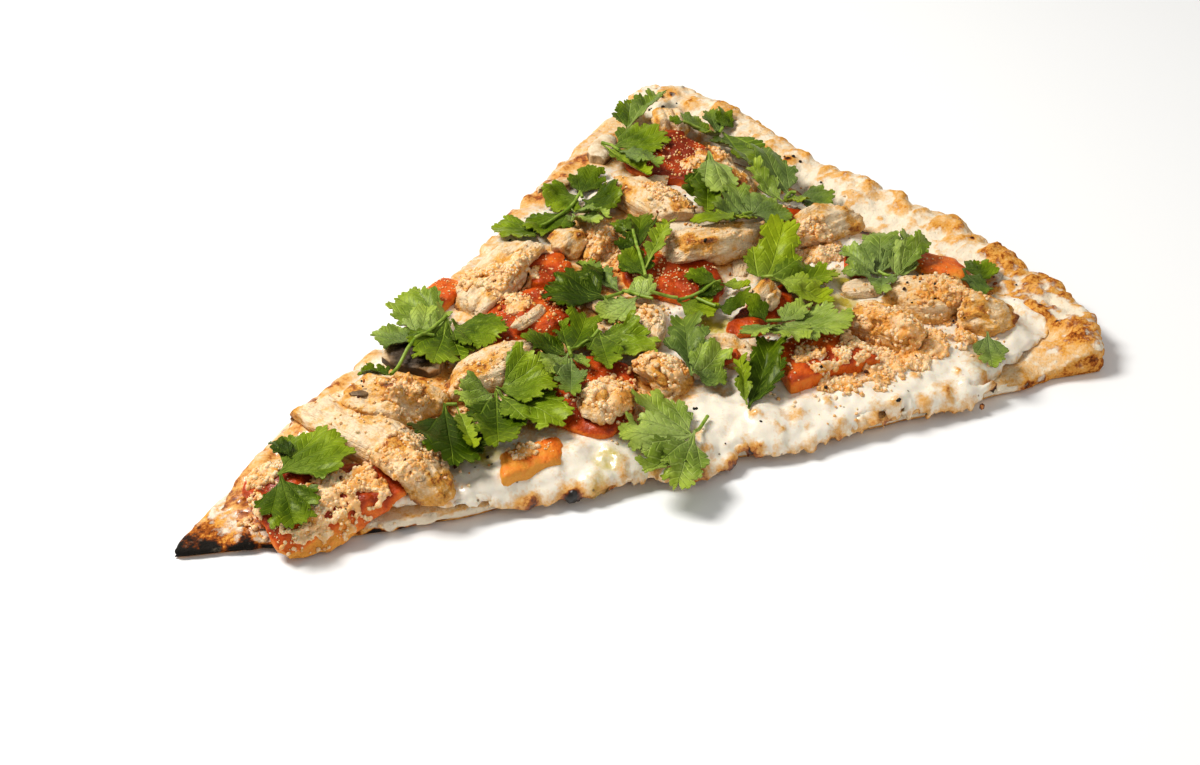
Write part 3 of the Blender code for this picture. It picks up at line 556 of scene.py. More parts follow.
# Golden spots, as (x, y, radius, how dark)
CHEESE_TOAST = (
    (121.2, -56.7, 4, 0.8), (135.9, -55.3, 3.5, 0.7), (113.0, -46.8, 4, 0.5), (86.8, -46.0, 4, 0.8),
    (80.1, -43.6, 5, 0.9), (129.2, -37.3, 4, 0.5), (110.5, -37.3, 4, 0.4), (140.8, -66.1, 4, 0.5),
    (153.8, -66.0, 4, 0.45), (171.3, -70.0, 5, 0.4), (94.5, -42.1, 3, 0.5), (71.1, -38.6, 4, 0.5),
    (108.6, -53.7, 3.5, 0.7), (114.0, -59.6, 5, 0.9), (158, 60, 6, 0.5), (150, 57, 5, 0.5),
    (168, 64, 6, 0.5), (60, 21, 4, 0.4), (45, 17, 4, 0.4), (200, 10, 5, 0.3), (186, -66, 4, 0.4),
    (24, -3, 8, 0.85), (29, 6, 7, 0.8), (20, 1, 6, 0.9), (36, 10, 6, 0.7), (44, 12, 7, 0.7),
    (33, 0, 6, 0.6), (26, -9, 6, 0.8), (52, 16, 5, 0.7),
)  # fmt: skip
# Wide stretches between the toppings, darker both as cheese that has browned a little and as painted shade,
# as (x, y, radius)
BROWNED_AND_SHADED = (
    (45, 5, 18), (75, 0, 20), (105, 8, 22), (130, 15, 24), (155, 25, 24), (175, 5, 18), (120, -26, 12),
    (165, -30, 12), (185, 55, 16), (90, -18, 12), (195, 30, 12),
)  # fmt: skip
# Small browned lumps low on the near side, as (x, y, radius)
CHEESE_NUBS = (
    (72, -37.5, 2.2), (80, -42, 2.6), (93, -44, 2.0), (104, -49, 2.2), (112, -52, 3.0), (117, -56, 2.4),
    (124, -57, 2.6), (131, -56, 2.0), (137, -58, 2.4), (144, -63, 2.2), (150, -65, 2.4), (158, -67, 2.2),
    (165, -69, 2.6), (172, -71, 2.2), (179, -68, 2.4), (186, -67, 2.6), (110, -45, 2.0), (128, -51, 2.2),
    (146, -57, 2.0), (183, -72, 2.2), (168, -63, 1.8), (176, -62, 2.0), (99, -43, 1.8), (62, -33, 1.8),
    (55, -30, 1.6),
)  # fmt: skip
# Pools of oil, as (x, y, radius), with how strong it is where that isn't 1
OIL = (
    (92.2, -40.2, 5, 0.75), (86.5, -43.7, 4, 0.6), (71.3, -21.7, 6), (68, -20.4, 4), (145.6, -16.9, 7),
    (138.6, -15.6, 5), (104.6, -2.4, 5), (183.0, -24.8, 6), (176, -29.4, 6), (181.7, -19.7, 5),
    (125, -20, 6), (150, -2, 5),
)  # fmt: skip
# Heaps of toasted garlic, as (x, y, radius, height). They tint the cheese and the chicken below them.
HEAPS = (
    (38, -14, 6, 0.9), (44, -13, 5, 0.9), (30, -13, 5, 0.8), (63, 5, 5, 1.0), (69, 3, 4, 1.0),
    (50, -22, 4, 0.7), (108, 31, 5, 0.9), (120, 27, 5, 0.8), (110, 17, 5, 1.2), (101, -30, 7, 0.9),
    (106, -34, 5, 1.2), (187, -11, 5, 1.0), (180, -57, 6, 1.5), (172, -60, 4, 1.2), (160, -57, 6, 1.5),
    (166, -52, 6, 1.2), (118, -31, 5, 0.8), (150, -52, 4, 1.0), (195, -50, 5, 0.9), (56, -16, 4, 0.8),
    (172, -46, 6, 1.0), (187, -60, 5, 1.2), (192, 12, 4, 0.8), (26, 1, 5, 0.7), (33, 1, 4, 0.6),
    (111, -31, 5, 1.0), (176, -53, 6, 1.2),
)  # fmt: skip
# Wide thin heaps, given alike
THIN_HEAPS = (
    (28, -12, 11, 0.6), (24, -18, 8, 0.5), (37, -18, 10, 0.6), (45, -16, 7, 0.5), (20, -6, 6, 0.4),
    (56, -16, 8, 0.5), (66, 0, 7, 0.4), (112, 27, 7, 0.6), (103, -27, 10, 0.6), (170, -52, 13, 0.6),
    (186, -10, 9, 0.5), (142, 20, 8, 0.4), (120, -25, 9, 0.5), (80, -4, 5, 0.4), (190, 38, 7, 0.4),
    (158, -55, 9, 0.6), (128, -8, 7, 0.4), (203, 25, 6, 0.4), (192, -48, 8, 0.5), (147, 28, 6, 0.4),
    (168, 30, 6, 0.4), (77, -28, 5, 0.4), (150, -45, 5, 0.4),
)  # fmt: skip
FAR_SIDE = (0.366, -0.93)  # the way in from the far cut side
TOPPINGS = sorted(name for name in solids if name.startswith(("tomato", "mushroom", "chicken")))
RIM_FROM = 175  # x from which the cheese thins out towards the rim
TIP_TO = 36  # x up to which it is thin at the tip
THICKEST_FILM = 6  # where the cheese may be thicker than this, it stays as it is
DOWN = Vector((0, 0, -1))
HIGH_ABOVE = 60  # a height above everything, to look down from


def made_of_squares(name, mesh, size):
    """A new piece from a mesh, built again from small squares."""
    made = new_piece(name, mesh)
    squares = made.modifiers.new("squares", "REMESH")
    squares.mode = "VOXEL"
    squares.voxel_size = size * MM
    graph = bpy.context.evaluated_depsgraph_get()
    made.data = bpy.data.meshes.new_from_object(made.evaluated_get(graph))
    made.modifiers.clear()
    made.data.materials.clear()
    return made


def cheese_material():
    made, tree, shader = new_material("melted_cheese")
    place = place_in_mm(tree)
    colour = toasted(tree, place, (0.85, 0.775, 0.64), (0.74, 0.41, 0.12), 0.85)
    oily = sums(tree, "MULTIPLY", mask_of(tree, "oil"), noise(tree, place, 3.0, 2.0))
    oily = stretched(tree, oily, 0.12, 0.5)
    colour = mix(tree, oily, colour, (0.5, 0.4, 0.06, 1))
    specks = node(tree, "ShaderNodeTexVoronoi", {"Vector": place, "Scale": 0.22}).outputs["Distance"]
    specks = sums(tree, "MULTIPLY", stretched(tree, specks, 0.09, 0.06), 0.8)
    colour = mix(tree, specks, colour, (0.16, 0.09, 0.03, 1))
    rough = stretched(tree, oily, 0.0, 1.0, 0.34, 0.18)
    height = grain_height(tree, place, 1.1, 0.15)
    feed(tree, shader, Base_Color=colour, Roughness=rough, Coat_Weight=0.4, Coat_Roughness=0.12,
         Subsurface_Weight=0.25, Subsurface_Radius=(0.003, 0.002, 0.001),
         Normal=relief(tree, height, 0.12))  # fmt: skip
    return made


def cheese_bumps(points, out, nubs):
    """The lumps and pits of the cheese, as a height in millimetres."""
    bumps = 0.5 * waves(points, 9.0, 11) + 0.75 * waves(points, 4.3, 12) + 0.6 * waves(points, 2.3, 13)
    bumps += 0.3 * np.abs(waves(points, 1.3, 14))
    pits = smooth(waves(points, 2.6, 15), 0.35, 0.7) * (1 - smooth(out[:, 2], 0.5, 0.9))
    bumps += 0.9 * nubs - 0.6 * pits
    return bumps


def from_rim_edge(points):
    """How far each point lies inside the edge of the cheese that faces the rim."""
    row = np.round(points[:, 1]).astype(int)
    row -= row.min()
    reach = np.zeros(row.max() + 1)
    np.maximum.at(reach, row, points[:, 0])
    return reach[row] - points[:, 0]


def thinned(points, inside):
    """The points brought down to a thin film over the bread at its rim and at its tip."""
    below = faces_of([bread])
    x = points[:, 0]
    most = np.where(x > RIM_FROM, 0.15 + 0.04 * inside**2, np.inf)
    at_tip = 0.5 * waves(points, 3.4, 27) + 0.25 * waves(points, 1.7, 28) + 0.015 * (x - 15).clip(0) ** 2
    most = np.where(x < TIP_TO, at_tip, most)
    for i in np.flatnonzero(most < THICKEST_FILM):
        hit = below.ray_cast(in_metres(*points[i, :2], HIGH_ABOVE), DOWN)[0]
        if hit:
            points[i, 2] = min(points[i, 2], hit.z / MM + most[i])
    points[:, 2] = points[:, 2].clip(0.6)
    return points


def cheese_toast(points, out, near, nubs, bumps, inside):
    """How brown each point is: at its edges, in spots and over the browned stretches between the toppings,
    with painted shade there and next to what lies in the cheese.
    """
    x, y, z = points.T
    toast = 0.04 + 0.5 * spots(points, CHEESE_TOAST) + 0.1 * smooth(bumps, 0.2, 0.9)
    # Painted shade: darker next to what lies in the cheese, and over the stretches between the toppings,
    # which have also browned a little.
    toast += 0.12 * (1 - smooth(near, 0.5, 2.5)) + 0.36 * spots(points, BROWNED_AND_SHADED) ** 0.5
    toast += 0.34 * nubs + 0.3 * (1 - smooth(FAR_SIDE[0] * x + FAR_SIDE[1] * y, 1, 9))
    toast = np.where(x < 46, np.minimum(toast + 0.2, 0.46 + 0.16 * waves(points, 4.0, 20)), toast)
    toast += 0.3 * (1 - smooth(z, 2.0, 6.0))
    toast += 0.2 * smooth(out[:, 1], 0.2, 0.8) + 0.25 * smooth(out[:, 0], 0.2, 0.7)
    toast += 0.3 * (1 - smooth(inside, 0, 3.5)) * (x > RIM_FROM) + 0.14 * spots(points, HEAPS)
    return np.where(x < 60, toast.clip(0, 0.62), toast)


def make_cheese():
    cheese = made_of_squares("cheese_layer", solids["cheese"].data.copy(), CHEESE_SQUARES)
    mesh = cheese.data
    points = relaxed(mesh, read(mesh), 8)
    write(mesh, points)
    out = normals(mesh)
    x, y, _ = points.T
    toppings = faces_of([solids[name] for name in TOPPINGS])
    near = np.array([toppings.find_nearest(in_metres(*point))[3] for point in points]) / MM
    rise = 0.35 + 0.9 * (1 - near / 3.2).clip(0) ** 2
    rise -= 1.0 * smooth(x, 196, 212) + 2.0 * (1 - smooth(x, 16, 32))
    spread = smooth(x, 180, 200) * smooth(-y, 42, 58)
    nubs = spots(points, CHEESE_NUBS) * smooth(waves(points, 2.4, 19), -0.5, 0.4)
    bumps = cheese_bumps(points, out, nubs)
    points = points + out * (bumps * (0.25 + 0.75 * smooth(near, 0.6, 3.0)))[:, None]
    points[:, 2] += smooth(out[:, 2], 0.1, 0.7) * rise
    points[:, 0] += 7 * spread + 1.5 * spread * waves(points, 4.0, 26)
    inside = from_rim_edge(points)
    points = thinned(points, inside)
    write(mesh, points)
    keep_mask(mesh, "toast", cheese_toast(points, out, near, nubs, bumps, inside))
    keep_mask(mesh, "oil", spots(points, OIL))
    return dress(cheese, "melted_cheese", "cheese", cheese_material())


cheese = make_cheese()


# ---- The tomato slices -----------------------------------------------------------------------
# Thin slices of ripe tomato, wet and softened by the heat: red flesh, paler at the cut edges,
# and orange where the large slice at the tip has dried over the edge of the bread.

TOMATO_SQUARES = 0.6
# Each slice: flesh from 0, orange and dry, to 1, deep red and wet
RIPENESS = {
    "tomato_tip": 0.8, "tomato_01": 0.42, "tomato_02": 0.62, "tomato_03": 0.68, "tomato_04": 0.74,
    "tomato_05": 0.8, "tomato_06": 0.6, "tomato_07": 0.6, "tomato_08": 0.3, "tomato_09": 0.2,
    "tomato_10": 0.66, "tomato_11": 0.7,
}  # fmt: skip
# Pieces with straight cut sides, as (direction of the long side in degrees, how far it is sunk)
WEDGES = {"tomato_09": (-18, 1.9), "tomato_07": (-12, 0.3), "tomato_08": (-40, 0.4), "tomato_01": (20, 0.3)}
NEAR_SIDE = (-0.34, -0.94)  # the way that the near cut side faces


def chopped(points, cuts, level, draw):
    """The points with flat sides cut from them, level or in any direction."""
    middle = points.mean(axis=0)
    for _ in range(cuts):
        way = Vector((draw.gauss(0, 1), draw.gauss(0, 1), draw.gauss(0.5, 0.8) * (1 - level)))
        way = np.array(way.normalized())
        reach = (points - middle) @ way
        beyond = (reach - draw.uniform(0.76, 0.95) * reach.max()).clip(0)
        points = points - 0.95 * beyond[:, None] * way
    return points


def ways_at(degrees):
    """The ways along and across a direction, as two rows."""
    turn = math.radians(degrees)
    return np.array(((math.cos(turn), math.sin(turn)), (-math.sin(turn), math.cos(turn))))


def squared(points, direction, sunk):
    """The points drawn out from a round outline to a square one, and lower."""
    ways = ways_at(direction)
    flat = points[:, :2] @ ways.T
    middle = (flat.min(axis=0) + flat.max(axis=0)) / 2
    half = (flat.max(axis=0) - flat.min(axis=0)) / 2
    share = (flat - middle) / half
    farthest = np.abs(share).max(axis=1).clip(0.05)
    grown = 1 + 0.95 * (np.hypot(*share.T) / farthest - 1)
    low, high = points[:, 2].min(), points[:, 2].max()
    level = low + (high - low) * smooth(points[:, 2], low, high)
    return np.column_stack([(middle + share * grown[:, None] * half) @ ways, level - sunk])


def tomato_material():
    made, tree, shader = new_material("tomato_flesh")
    place = place_in_mm(tree)
    ripe = sums(tree, "ADD", mask_of(tree, "ripe"), -0.55)
    ripe = sums(tree, "MULTIPLY_ADD", noise(tree, place, 3.2, 4.0), 1.1, ripe)
    colour = ramp(tree, ripe, (0.0, (0.76, 0.33, 0.045)), (0.3, (0.8, 0.2, 0.02)),
                  (0.6, (0.56, 0.08, 0.004)), (0.95, (0.24, 0.024, 0.001)))  # fmt: skip
    height = grain_height(tree, place, 1.4, 0.2)
    feed(tree, shader, Base_Color=colour, Roughness=0.38, Specular_IOR_Level=0.3, Coat_Weight=0.12,
         Coat_Roughness=0.12, Subsurface_Weight=0.04, Subsurface_Radius=(0.003, 0.0008, 0.0004),
         Normal=relief(tree, height, 0.55))  # fmt: skip
    return made


def make_tomato(solid, material):
    piece = made_of_squares(solid + "_slice", solids[solid].data.copy(), TOMATO_SQUARES)
    mesh = piece.data
    points = relaxed(mesh, read(mesh), 3)
    if solid == "tomato_tip":
        front = points[:, :2] @ np.array(NEAR_SIDE)
        points[:, 2] = 1.2 + (points[:, 2] - 1.2) * (0.25 + 0.7 * smooth(front.max() - front, 0, 7))
    write(mesh, points)
    if solid in WEDGES:
        points = squared(points, *WEDGES[solid])
    else:
        points = chopped(points + 0.5 * normals(mesh) * (1, 1, 0), 5, 0.9, random.Random(solid))
    points = relaxed(mesh, points, 1)
    write(mesh, points)
    out = normals(mesh)
    bumps = 0.6 * waves(points, 4.5, 21) + 0.35 * waves(points, 2.0, 22) + 0.15 * waves(points, 1.0, 24)
    bumps *= 0.55 if solid in WEDGES else 1.0
    points += out * (bumps + 0.2)[:, None]
    write(mesh, points)
    ripe = RIPENESS[solid] - 0.35 * (1 - smooth(out[:, 2], 0.2, 0.7)) + 0.2 * waves(points, 6.0, 23)
    if solid == "tomato_tip":
        front = points[:, :2] @ np.array(NEAR_SIDE)
        ripe -= 0.5 * smooth(front, front.max() - 6, front.max())
    keep_mask(mesh, "ripe", ripe)
    return dress(piece, "tomato_flesh", solid, material)


flesh = tomato_material()
tomatoes = [make_tomato(solid, flesh) for solid in sorted(RIPENESS)]


# ---- The mushroom slices ---------------------------------------------------------------------
# Thin slices with a pale cut face, a thin brown rim, and dark gills where they show. Each is
# made from its solid with flat sides cut from it, and fine ridges where the gills are.

MUSHROOM_SQUARES = 0.5
# How far the dark gills show on each slice
GILLS = {"mushroom_01": 0.35, "mushroom_02": 0.05, "mushroom_03": 0.95}


def mushroom_material():
    made, tree, shader = new_material("mushroom_flesh")
    place = place_in_mm(tree)
    dark = sums(tree, "ADD", mask_of(tree, "gills"), -0.3)
    dark = sums(tree, "MULTIPLY_ADD", noise(tree, place, 2.2, 3.0), 0.6, dark)
    colour = ramp(tree, dark, (0.25, (0.8, 0.67, 0.48)), (0.45, (0.56, 0.38, 0.2)),
                  (0.6, (0.19, 0.11, 0.042)), (0.85, (0.055, 0.032, 0.012)))  # fmt: skip
    height = grain_height(tree, place, 0.9, 0.2)
    feed(tree, shader, Base_Color=colour, Roughness=0.6, Coat_Weight=0.03, Coat_Roughness=0.25,
         Normal=relief(tree, height, 0.35))  # fmt: skip
    return made


def make_mushroom(solid, material):
    piece = made_of_squares(solid + "_slice", solids[solid].data.copy(), MUSHROOM_SQUARES)
    mesh = piece.data
    points = relaxed(mesh, read(mesh), 4)
    points = relaxed(mesh, chopped(points, 7, 0.8, random.Random(solid)), 1)
    write(mesh, points)
    out = normals(mesh)
    middle = points.mean(axis=0)
    across = points[:, 0] * 0.6 + points[:, 1] * 0.8
    ridges = GILLS[solid] * 0.3 * np.sin(across * 4.5 + 2 * waves(points, 4.0, 31))
    points += out * (0.25 * waves(points, 3.0, 32) + ridges * smooth(out[:, 2], 0.2, 0.8))[:, None]
    write(mesh, points)
    edge = smooth(np.hypot(*(points[:, :2] - middle[:2]).T), 3, 9)
    keep_mask(mesh, "gills", GILLS[solid] * (1 - 0.8 * edge) + 0.5 * (1 - smooth(out[:, 2], -0.2, 0.4)))
    return dress(piece, "mushroom_flesh", solid, material)


mushroom = mushroom_material()
mushrooms = [make_mushroom(solid, mushroom) for solid in sorted(GILLS)]


# ---- The chicken -----------------------------------------------------------------------------
# Chunks of roast chicken breast, torn and cut along the grain of the meat: pale and fibrous,
# with edges and upper sides browned in spots.

CHICKEN_SQUARES = 0.5
GRAIN_LENGTH = 9  # how many times longer the fibres are than they are wide
# Each chunk, in order: direction of its grain in degrees, how brown, how torn its surface is, and
# how far it swells past its solid
CHUNKS = (
    (-77, 0.2, 0.8, 1.9), (-78, 0.45, 0.9, 1.6), (-50, 0.5, 1.0, 1.6), (-8, 0.3, 0.6, 1.1),
    (22, 0.2, 0.6, 1.1), (30, 0.3, 0.8, 0.8), (10, 0.55, 0.8, 0.8), (-86, 0.35, 0.6, 1.2),
    (-16, 0.3, 0.5, 1.2), (-80, 0.4, 0.7, 1.0), (60, 0.25, 1.0, 1.0), (3, 0.25, 0.6, 1.1),
    (-35, 0.4, 0.8, 1.1), (-40, 0.45, 1.0, 1.0), (-70, 0.4, 0.8, 1.0), (20, 0.35, 1.0, 0.8),
    (-62, 0.15, 0.6, 0.9), (-60, 0.5, 1.0, 0.9), (50, 0.1, 0.5, 0.8), (30, 0.45, 1.0, 0.9),
)  # fmt: skip


def place_of(tree, name):
    """A place that the mesh keeps for each point."""
    return node(tree, "ShaderNodeAttribute", attribute_name=name).outputs["Vector"]


def chicken_material():
    made, tree, shader = new_material("roast_chicken")
    place = place_in_mm(tree)
    colour = toasted(tree, place, (0.87, 0.69, 0.46), (0.76, 0.38, 0.06), 1.0)
    # Painted shade: the inner mask darkens the faces that turn sideways and down, as if they lay in the
    # chunk's own shade.
    shade = stretched(tree, mask_of(tree, "inner"), 0.0, 1.0, 0.0, 0.4)
    colour = mix(tree, shade, colour, (0.52, 0.32, 0.16, 1))
    strands = noise(tree, place_of(tree, "fibres"), 0.55, 3.0, 0.6, 0.3)
    # Dark streaks along the fibres, where their relief is lowest: partly the meat's own streaks and partly
    # painted shade in the grooves between them.
    streaks_and_groove_shade = stretched(tree, strands, 0.56, 0.34, 0.0, 0.26)
    colour = mix(tree, streaks_and_groove_shade, colour, (0.52, 0.32, 0.17, 1))
    height = sums(tree, "MULTIPLY_ADD", strands, 1.6, grain_height(tree, place, 0.8, 0.35))
    feed(tree, shader, Base_Color=colour, Roughness=0.46, Specular_IOR_Level=0.32, Subsurface_Weight=0.1,
         Subsurface_Radius=(0.003, 0.0015, 0.0008), Normal=relief(tree, height, 0.35))  # fmt: skip
    return made


def along_grain(points, degrees):
    """The points in the frame of the meat's grain, shortened along it."""
    cos, sin = ways_at(degrees)[0]
    along = points[:, 0] * cos + points[:, 1] * sin
    across = points[:, 1] * cos - points[:, 0] * sin
    return np.column_stack([along / GRAIN_LENGTH, across, points[:, 2]])


def keep_places(mesh, name, places):
    """Keeps a place for each point, which the material reads by name."""
    kept = mesh.attributes.new(name, "FLOAT_VECTOR", "POINT")
    kept.data.foreach_set("vector", places.astype(np.float32).ravel())


def make_chunk(number, grain_way, brown, torn, swell, material):
    solid = f"chicken_{number:02}"
    chunk = made_of_squares(solid + "_chunk", solids[solid].data.copy(), CHICKEN_SQUARES)
    mesh = chunk.data
    points = relaxed(mesh, read(mesh), 6)
    write(mesh, points)
    points += swell * normals(mesh) * (1, 1, 0.6)
    points = relaxed(mesh, chopped(points, 9, 0, random.Random(number)), 2)
    write(mesh, points)
    out = normals(mesh)
    fibres = along_grain(points, grain_way)
    strands = 0.4 * waves(fibres, 1.1, 41 + number) + 0.6 * waves(fibres, 2.6, 42 + number)
    strands *= 0.6 + 0.8 * torn
    creases = -0.9 * torn * (1 - 6 * np.abs(waves(fibres, 3.4, 49 + number))).clip(0)
    lumps = torn * (0.4 * waves(points, 6.0, 43 + number) + 0.25 * waves(points, 2.4, 44 + number)) + creases
    grains = torn * (0.2 * waves(points, 1.0, 47 + number) + 0.14 * waves(points, 0.6, 48 + number))
    points += out * (strands + lumps + grains)[:, None]
    top = smooth(out[:, 2], 0.2, 0.9)
    toast = 0.08 + brown * (0.36 + 1.2 * top * smooth(waves(points, 5.0, 45 + number), -0.1, 0.5))
    film = (spots(points, HEAPS) + 0.5 * spots(points, THIN_HEAPS)).clip(0, 1) * top
    points += out * (0.3 * film * np.abs(waves(points, 0.9, 50)))[:, None]
    write(mesh, points)
    toast = (toast + 0.2 * film).clip(0, 0.56)
    toast += 0.3 * smooth(strands + lumps + grains, 0.3, 1.1) + 0.24 * (1 - smooth(points[:, 2], 8, 12))
    toast += 0.42 * (1 - smooth(FAR_SIDE[0] * points[:, 0] + FAR_SIDE[1] * points[:, 1], -1, 5))
    keep_mask(mesh, "toast", toast)
    keep_places(mesh, "fibres", fibres)
    # The inner mask is painted shade. It is strongest on faces that turn sideways and down, in uneven
    # patches.
    keep_mask(mesh, "inner", (1 - smooth(out[:, 2], -0.2, 0.6)) * (0.6 + 0.5 * waves(points, 3.0, 46)))
    return dress(chunk, "cooked_chicken", solid, material)


meat = chicken_material()
chunks = [make_chunk(number, *chunk, meat) for number, chunk in enumerate(CHUNKS, 1)]


# ---- The small scraps ------------------------------------------------------------------------
# Scraps of the same things between the larger pieces: bits of tomato, shreds of chicken, mushroom
# gill and strips of toasted cheese. Each is a chopped ball, laid flat on what is below it.

# Each scrap, as (kind, x, y, length, width, thickness, direction in degrees)
SCRAPS = (
    ("tomato", 188.5, -22, 9, 5, 1.6, 70), ("tomato", 111.5, 37.5, 8, 3.5, 1.6, 15),
    ("tomato", 136, -33, 6, 3, 1.4, -20), ("tomato", 117, 3, 6, 4, 1.4, 40),
    ("chicken", 183, -29, 9, 5, 3.0, -30), ("chicken", 110, 10, 15, 2.4, 1.6, 18),
    ("chicken", 168, -2, 8, 5, 2.6, 40), ("chicken", 175, 42, 9, 5, 2.4, -20),
    ("chicken", 92, 8, 9, 5, 2.6, 30), ("chicken", 128, 8, 7, 4, 2.2, 60),
    ("chicken", 197.5, 3, 8, 4, 1.8, 10), ("gills", 57, 7.5, 4.6, 1.5, 0.6, -38),
    ("gills", 200, -53, 5, 3, 1.4, -30), ("cheese", 157, 58, 22, 4, 1.6, 22),
    ("chicken", 148, -33, 8, 4, 2.2, -60), ("cheese", 152, -47, 4, 2.6, 1.6, 20),
    ("chicken", 27, 4, 7, 4, 1.4, 60),
)  # fmt: skip
# Each kind's material, its slot and the masks that its material reads
SCRAP_LOOKS = {
    "tomato": (flesh, "tomato_flesh", {"ripe": 0.6}),
    # A chicken scrap's inner mask is painted shade, as on the chunks.
    "chicken": (meat, "cooked_chicken", {"toast": 0.12, "inner": 0.2}),
    "gills": (mushroom, "mushroom_flesh", {"gills": 0.6}),
    "cheese": (cheese.data.materials[0], "melted_cheese", {"toast": 0.35, "oil": 0.0}),
}


def ball_of(fineness):
    """The points and faces of a ball with a radius of 1."""
    shape = bmesh.new()
    bmesh.ops.create_icosphere(shape, subdivisions=fineness, radius=1)
    points = np.array([vertex.co for vertex in shape.verts])
    faces = np.array([[vertex.index for vertex in face.verts] for face in shape.faces])
    shape.free()
    return points, faces


def mesh_of(name, points, faces):
    """A new mesh from points in millimetres from the tip."""
    mesh = bpy.data.meshes.new(name)
    mesh.from_pydata([(0, 0, 0)] * len(points), [], faces)
    write(mesh, points)
    return mesh


def make_scrap(number, scrap, ground):
    kind, x, y, length, width, thickness, direction = scrap
    ball, faces = ball_of(4)
    ball = ball * (1 + 0.45 * waves(ball, 0.8, x + y))[:, None]
    points = np.sign(ball) * np.abs(ball) ** 0.75 * (length / 2, width / 2, thickness / 2)
    points = chopped(points, 8, 0.3, random.Random(round(10 * x))) * 1.1
    hit, normal, *_ = ground.ray_cast(in_metres(x, y, HIGH_ABOVE), DOWN)
    turn = UP.rotation_difference((normal + 0.6 * UP).normalized()).to_matrix()
    turn = np.array(turn @ Matrix.Rotation(math.radians(direction), 3, "Z"))
    points = points @ turn.T + np.array(hit) / MM - TIP + (0, 0, 0.2 * thickness)
    mesh = mesh_of(f"{kind}_scrap_{number:02}", points, faces.tolist())
    fibres = along_grain(points, direction)
    bumps = 0.2 * waves(points, 2.2, 81) + 0.3 * waves(fibres, 1.1, 82) + 0.12 * waves(points, 0.8, 83)
    write(mesh, points + normals(mesh) * bumps[:, None])
    keep_places(mesh, "fibres", fibres)
    material, slot, masks = SCRAP_LOOKS[kind]
    for name, value in masks.items():
        keep_mask(mesh, name, value + 0.3 * smooth(bumps, 0.1, 0.6))
    return dress(new_piece(mesh.name, mesh), slot, None, material)


under_scraps = faces_of([bread, cheese, *tomatoes, *mushrooms, *chunks])
bits = [make_scrap(number, scrap, under_scraps) for number, scrap in enumerate(SCRAPS, 1)]


# ---- The crumbs ------------------------------------------------------------------------------
# Minced garlic and grated hard cheese, toasted gold. In heaps the grains have grown together into
# a bed with single grains on it. Others lie loose, small and pale on the wet tomato, or burnt.

# Loose grains of each kind, as (x, y, radius, how many)
LOOSE = (
    (60, 0, 20, 80), (85, -5, 20, 90), (105, 5, 24, 140), (135, 5, 26, 140), (160, 15, 26, 120),
    (180, 30, 24, 110), (150, -42, 20, 70), (180, -40, 20, 80), (190, -58, 14, 60), (105, -32, 14, 60),
    (195, 50, 16, 50), (205, 10, 12, 30), (60, -20, 12, 40), (150, -58, 14, 30),
)  # fmt: skip
PALE = (
    (150, 6, 14, 220), (187, 47.5, 12, 200), (102.5, -22.5, 13, 170), (111.5, 13.5, 12, 200),
    (154, -44.5, 9, 110), (80, -29, 6, 50), (101, 35, 6, 60), (127, 26.5, 8, 70), (28, -15, 12, 260),
    (24, -5, 6, 60), (205, -34, 6, 20),
)  # fmt: skip
DARK = (
    (128, 31, 12, 6), (196, -38, 4, 14), (199, -42, 3, 8), (213, -50, 14, 9), (212, 20, 16, 8),
    (210, 75, 8, 9), (185, -45, 14, 12), (60, -28, 18, 8), (120, -50, 20, 8), (160, -62, 20, 10),
    (40, -8, 16, 8), (190, 48, 10, 6), (60, 8, 8, 6), (150, 20, 30, 10),
)  # fmt: skip
# The smallest and the largest grain of each kind
HEAP_GRAINS = (0.3, 0.78)
GRAIN_SIZE = (0.2, 0.55)
PALE_SIZE = (0.12, 0.32)
SPECK_SIZE = (0.24, 0.66)
HEAP_COVER = 2.6  # grains for each square millimetre
THIN_COVER = 1.5  # and in the thin heaps
BED_SUNK = 0.08  # how far the bed's grains are sunk
BED_GROWTH = 1.1  # how much larger they are than the single ones
BED_SQUARES = 0.42
GRAIN_RAISED = 0.12  # how far a single grain stands above its place in the bed, as a share of its size


def crumb_material(name, plain, gold):
    made, tree, shader = new_material(name)
    place = place_in_mm(tree)
    colour = toasted(tree, place, plain, gold, 0.45)
    height = grain_height(tree, place, 0.4, 0.2)
    feed(tree, shader, Base_Color=colour, Roughness=0.5, Specular_IOR_Level=0.35, Subsurface_Weight=0.5,
         Subsurface_Radius=(0.0024, 0.0014, 0.0007), Normal=relief(tree, height, 0.12))  # fmt: skip
    return made


def fall(ground, x, y, radius, draw):
    """Where a grain that falls somewhere in a circle comes to rest, the slope there, and how far out."""
    angle, out = draw.uniform(0, math.tau), math.sqrt(draw.random()) * draw.uniform(0.6, 1)
    start = in_metres(x + radius * out * math.cos(angle), y + radius * out * math.sin(angle), HIGH_ABOVE)
    hit, normal, *_ = ground.ray_cast(start, DOWN)
    return (hit, normal, out) if hit and normal.z > 0.15 and hit.z > 1.0 * MM else None


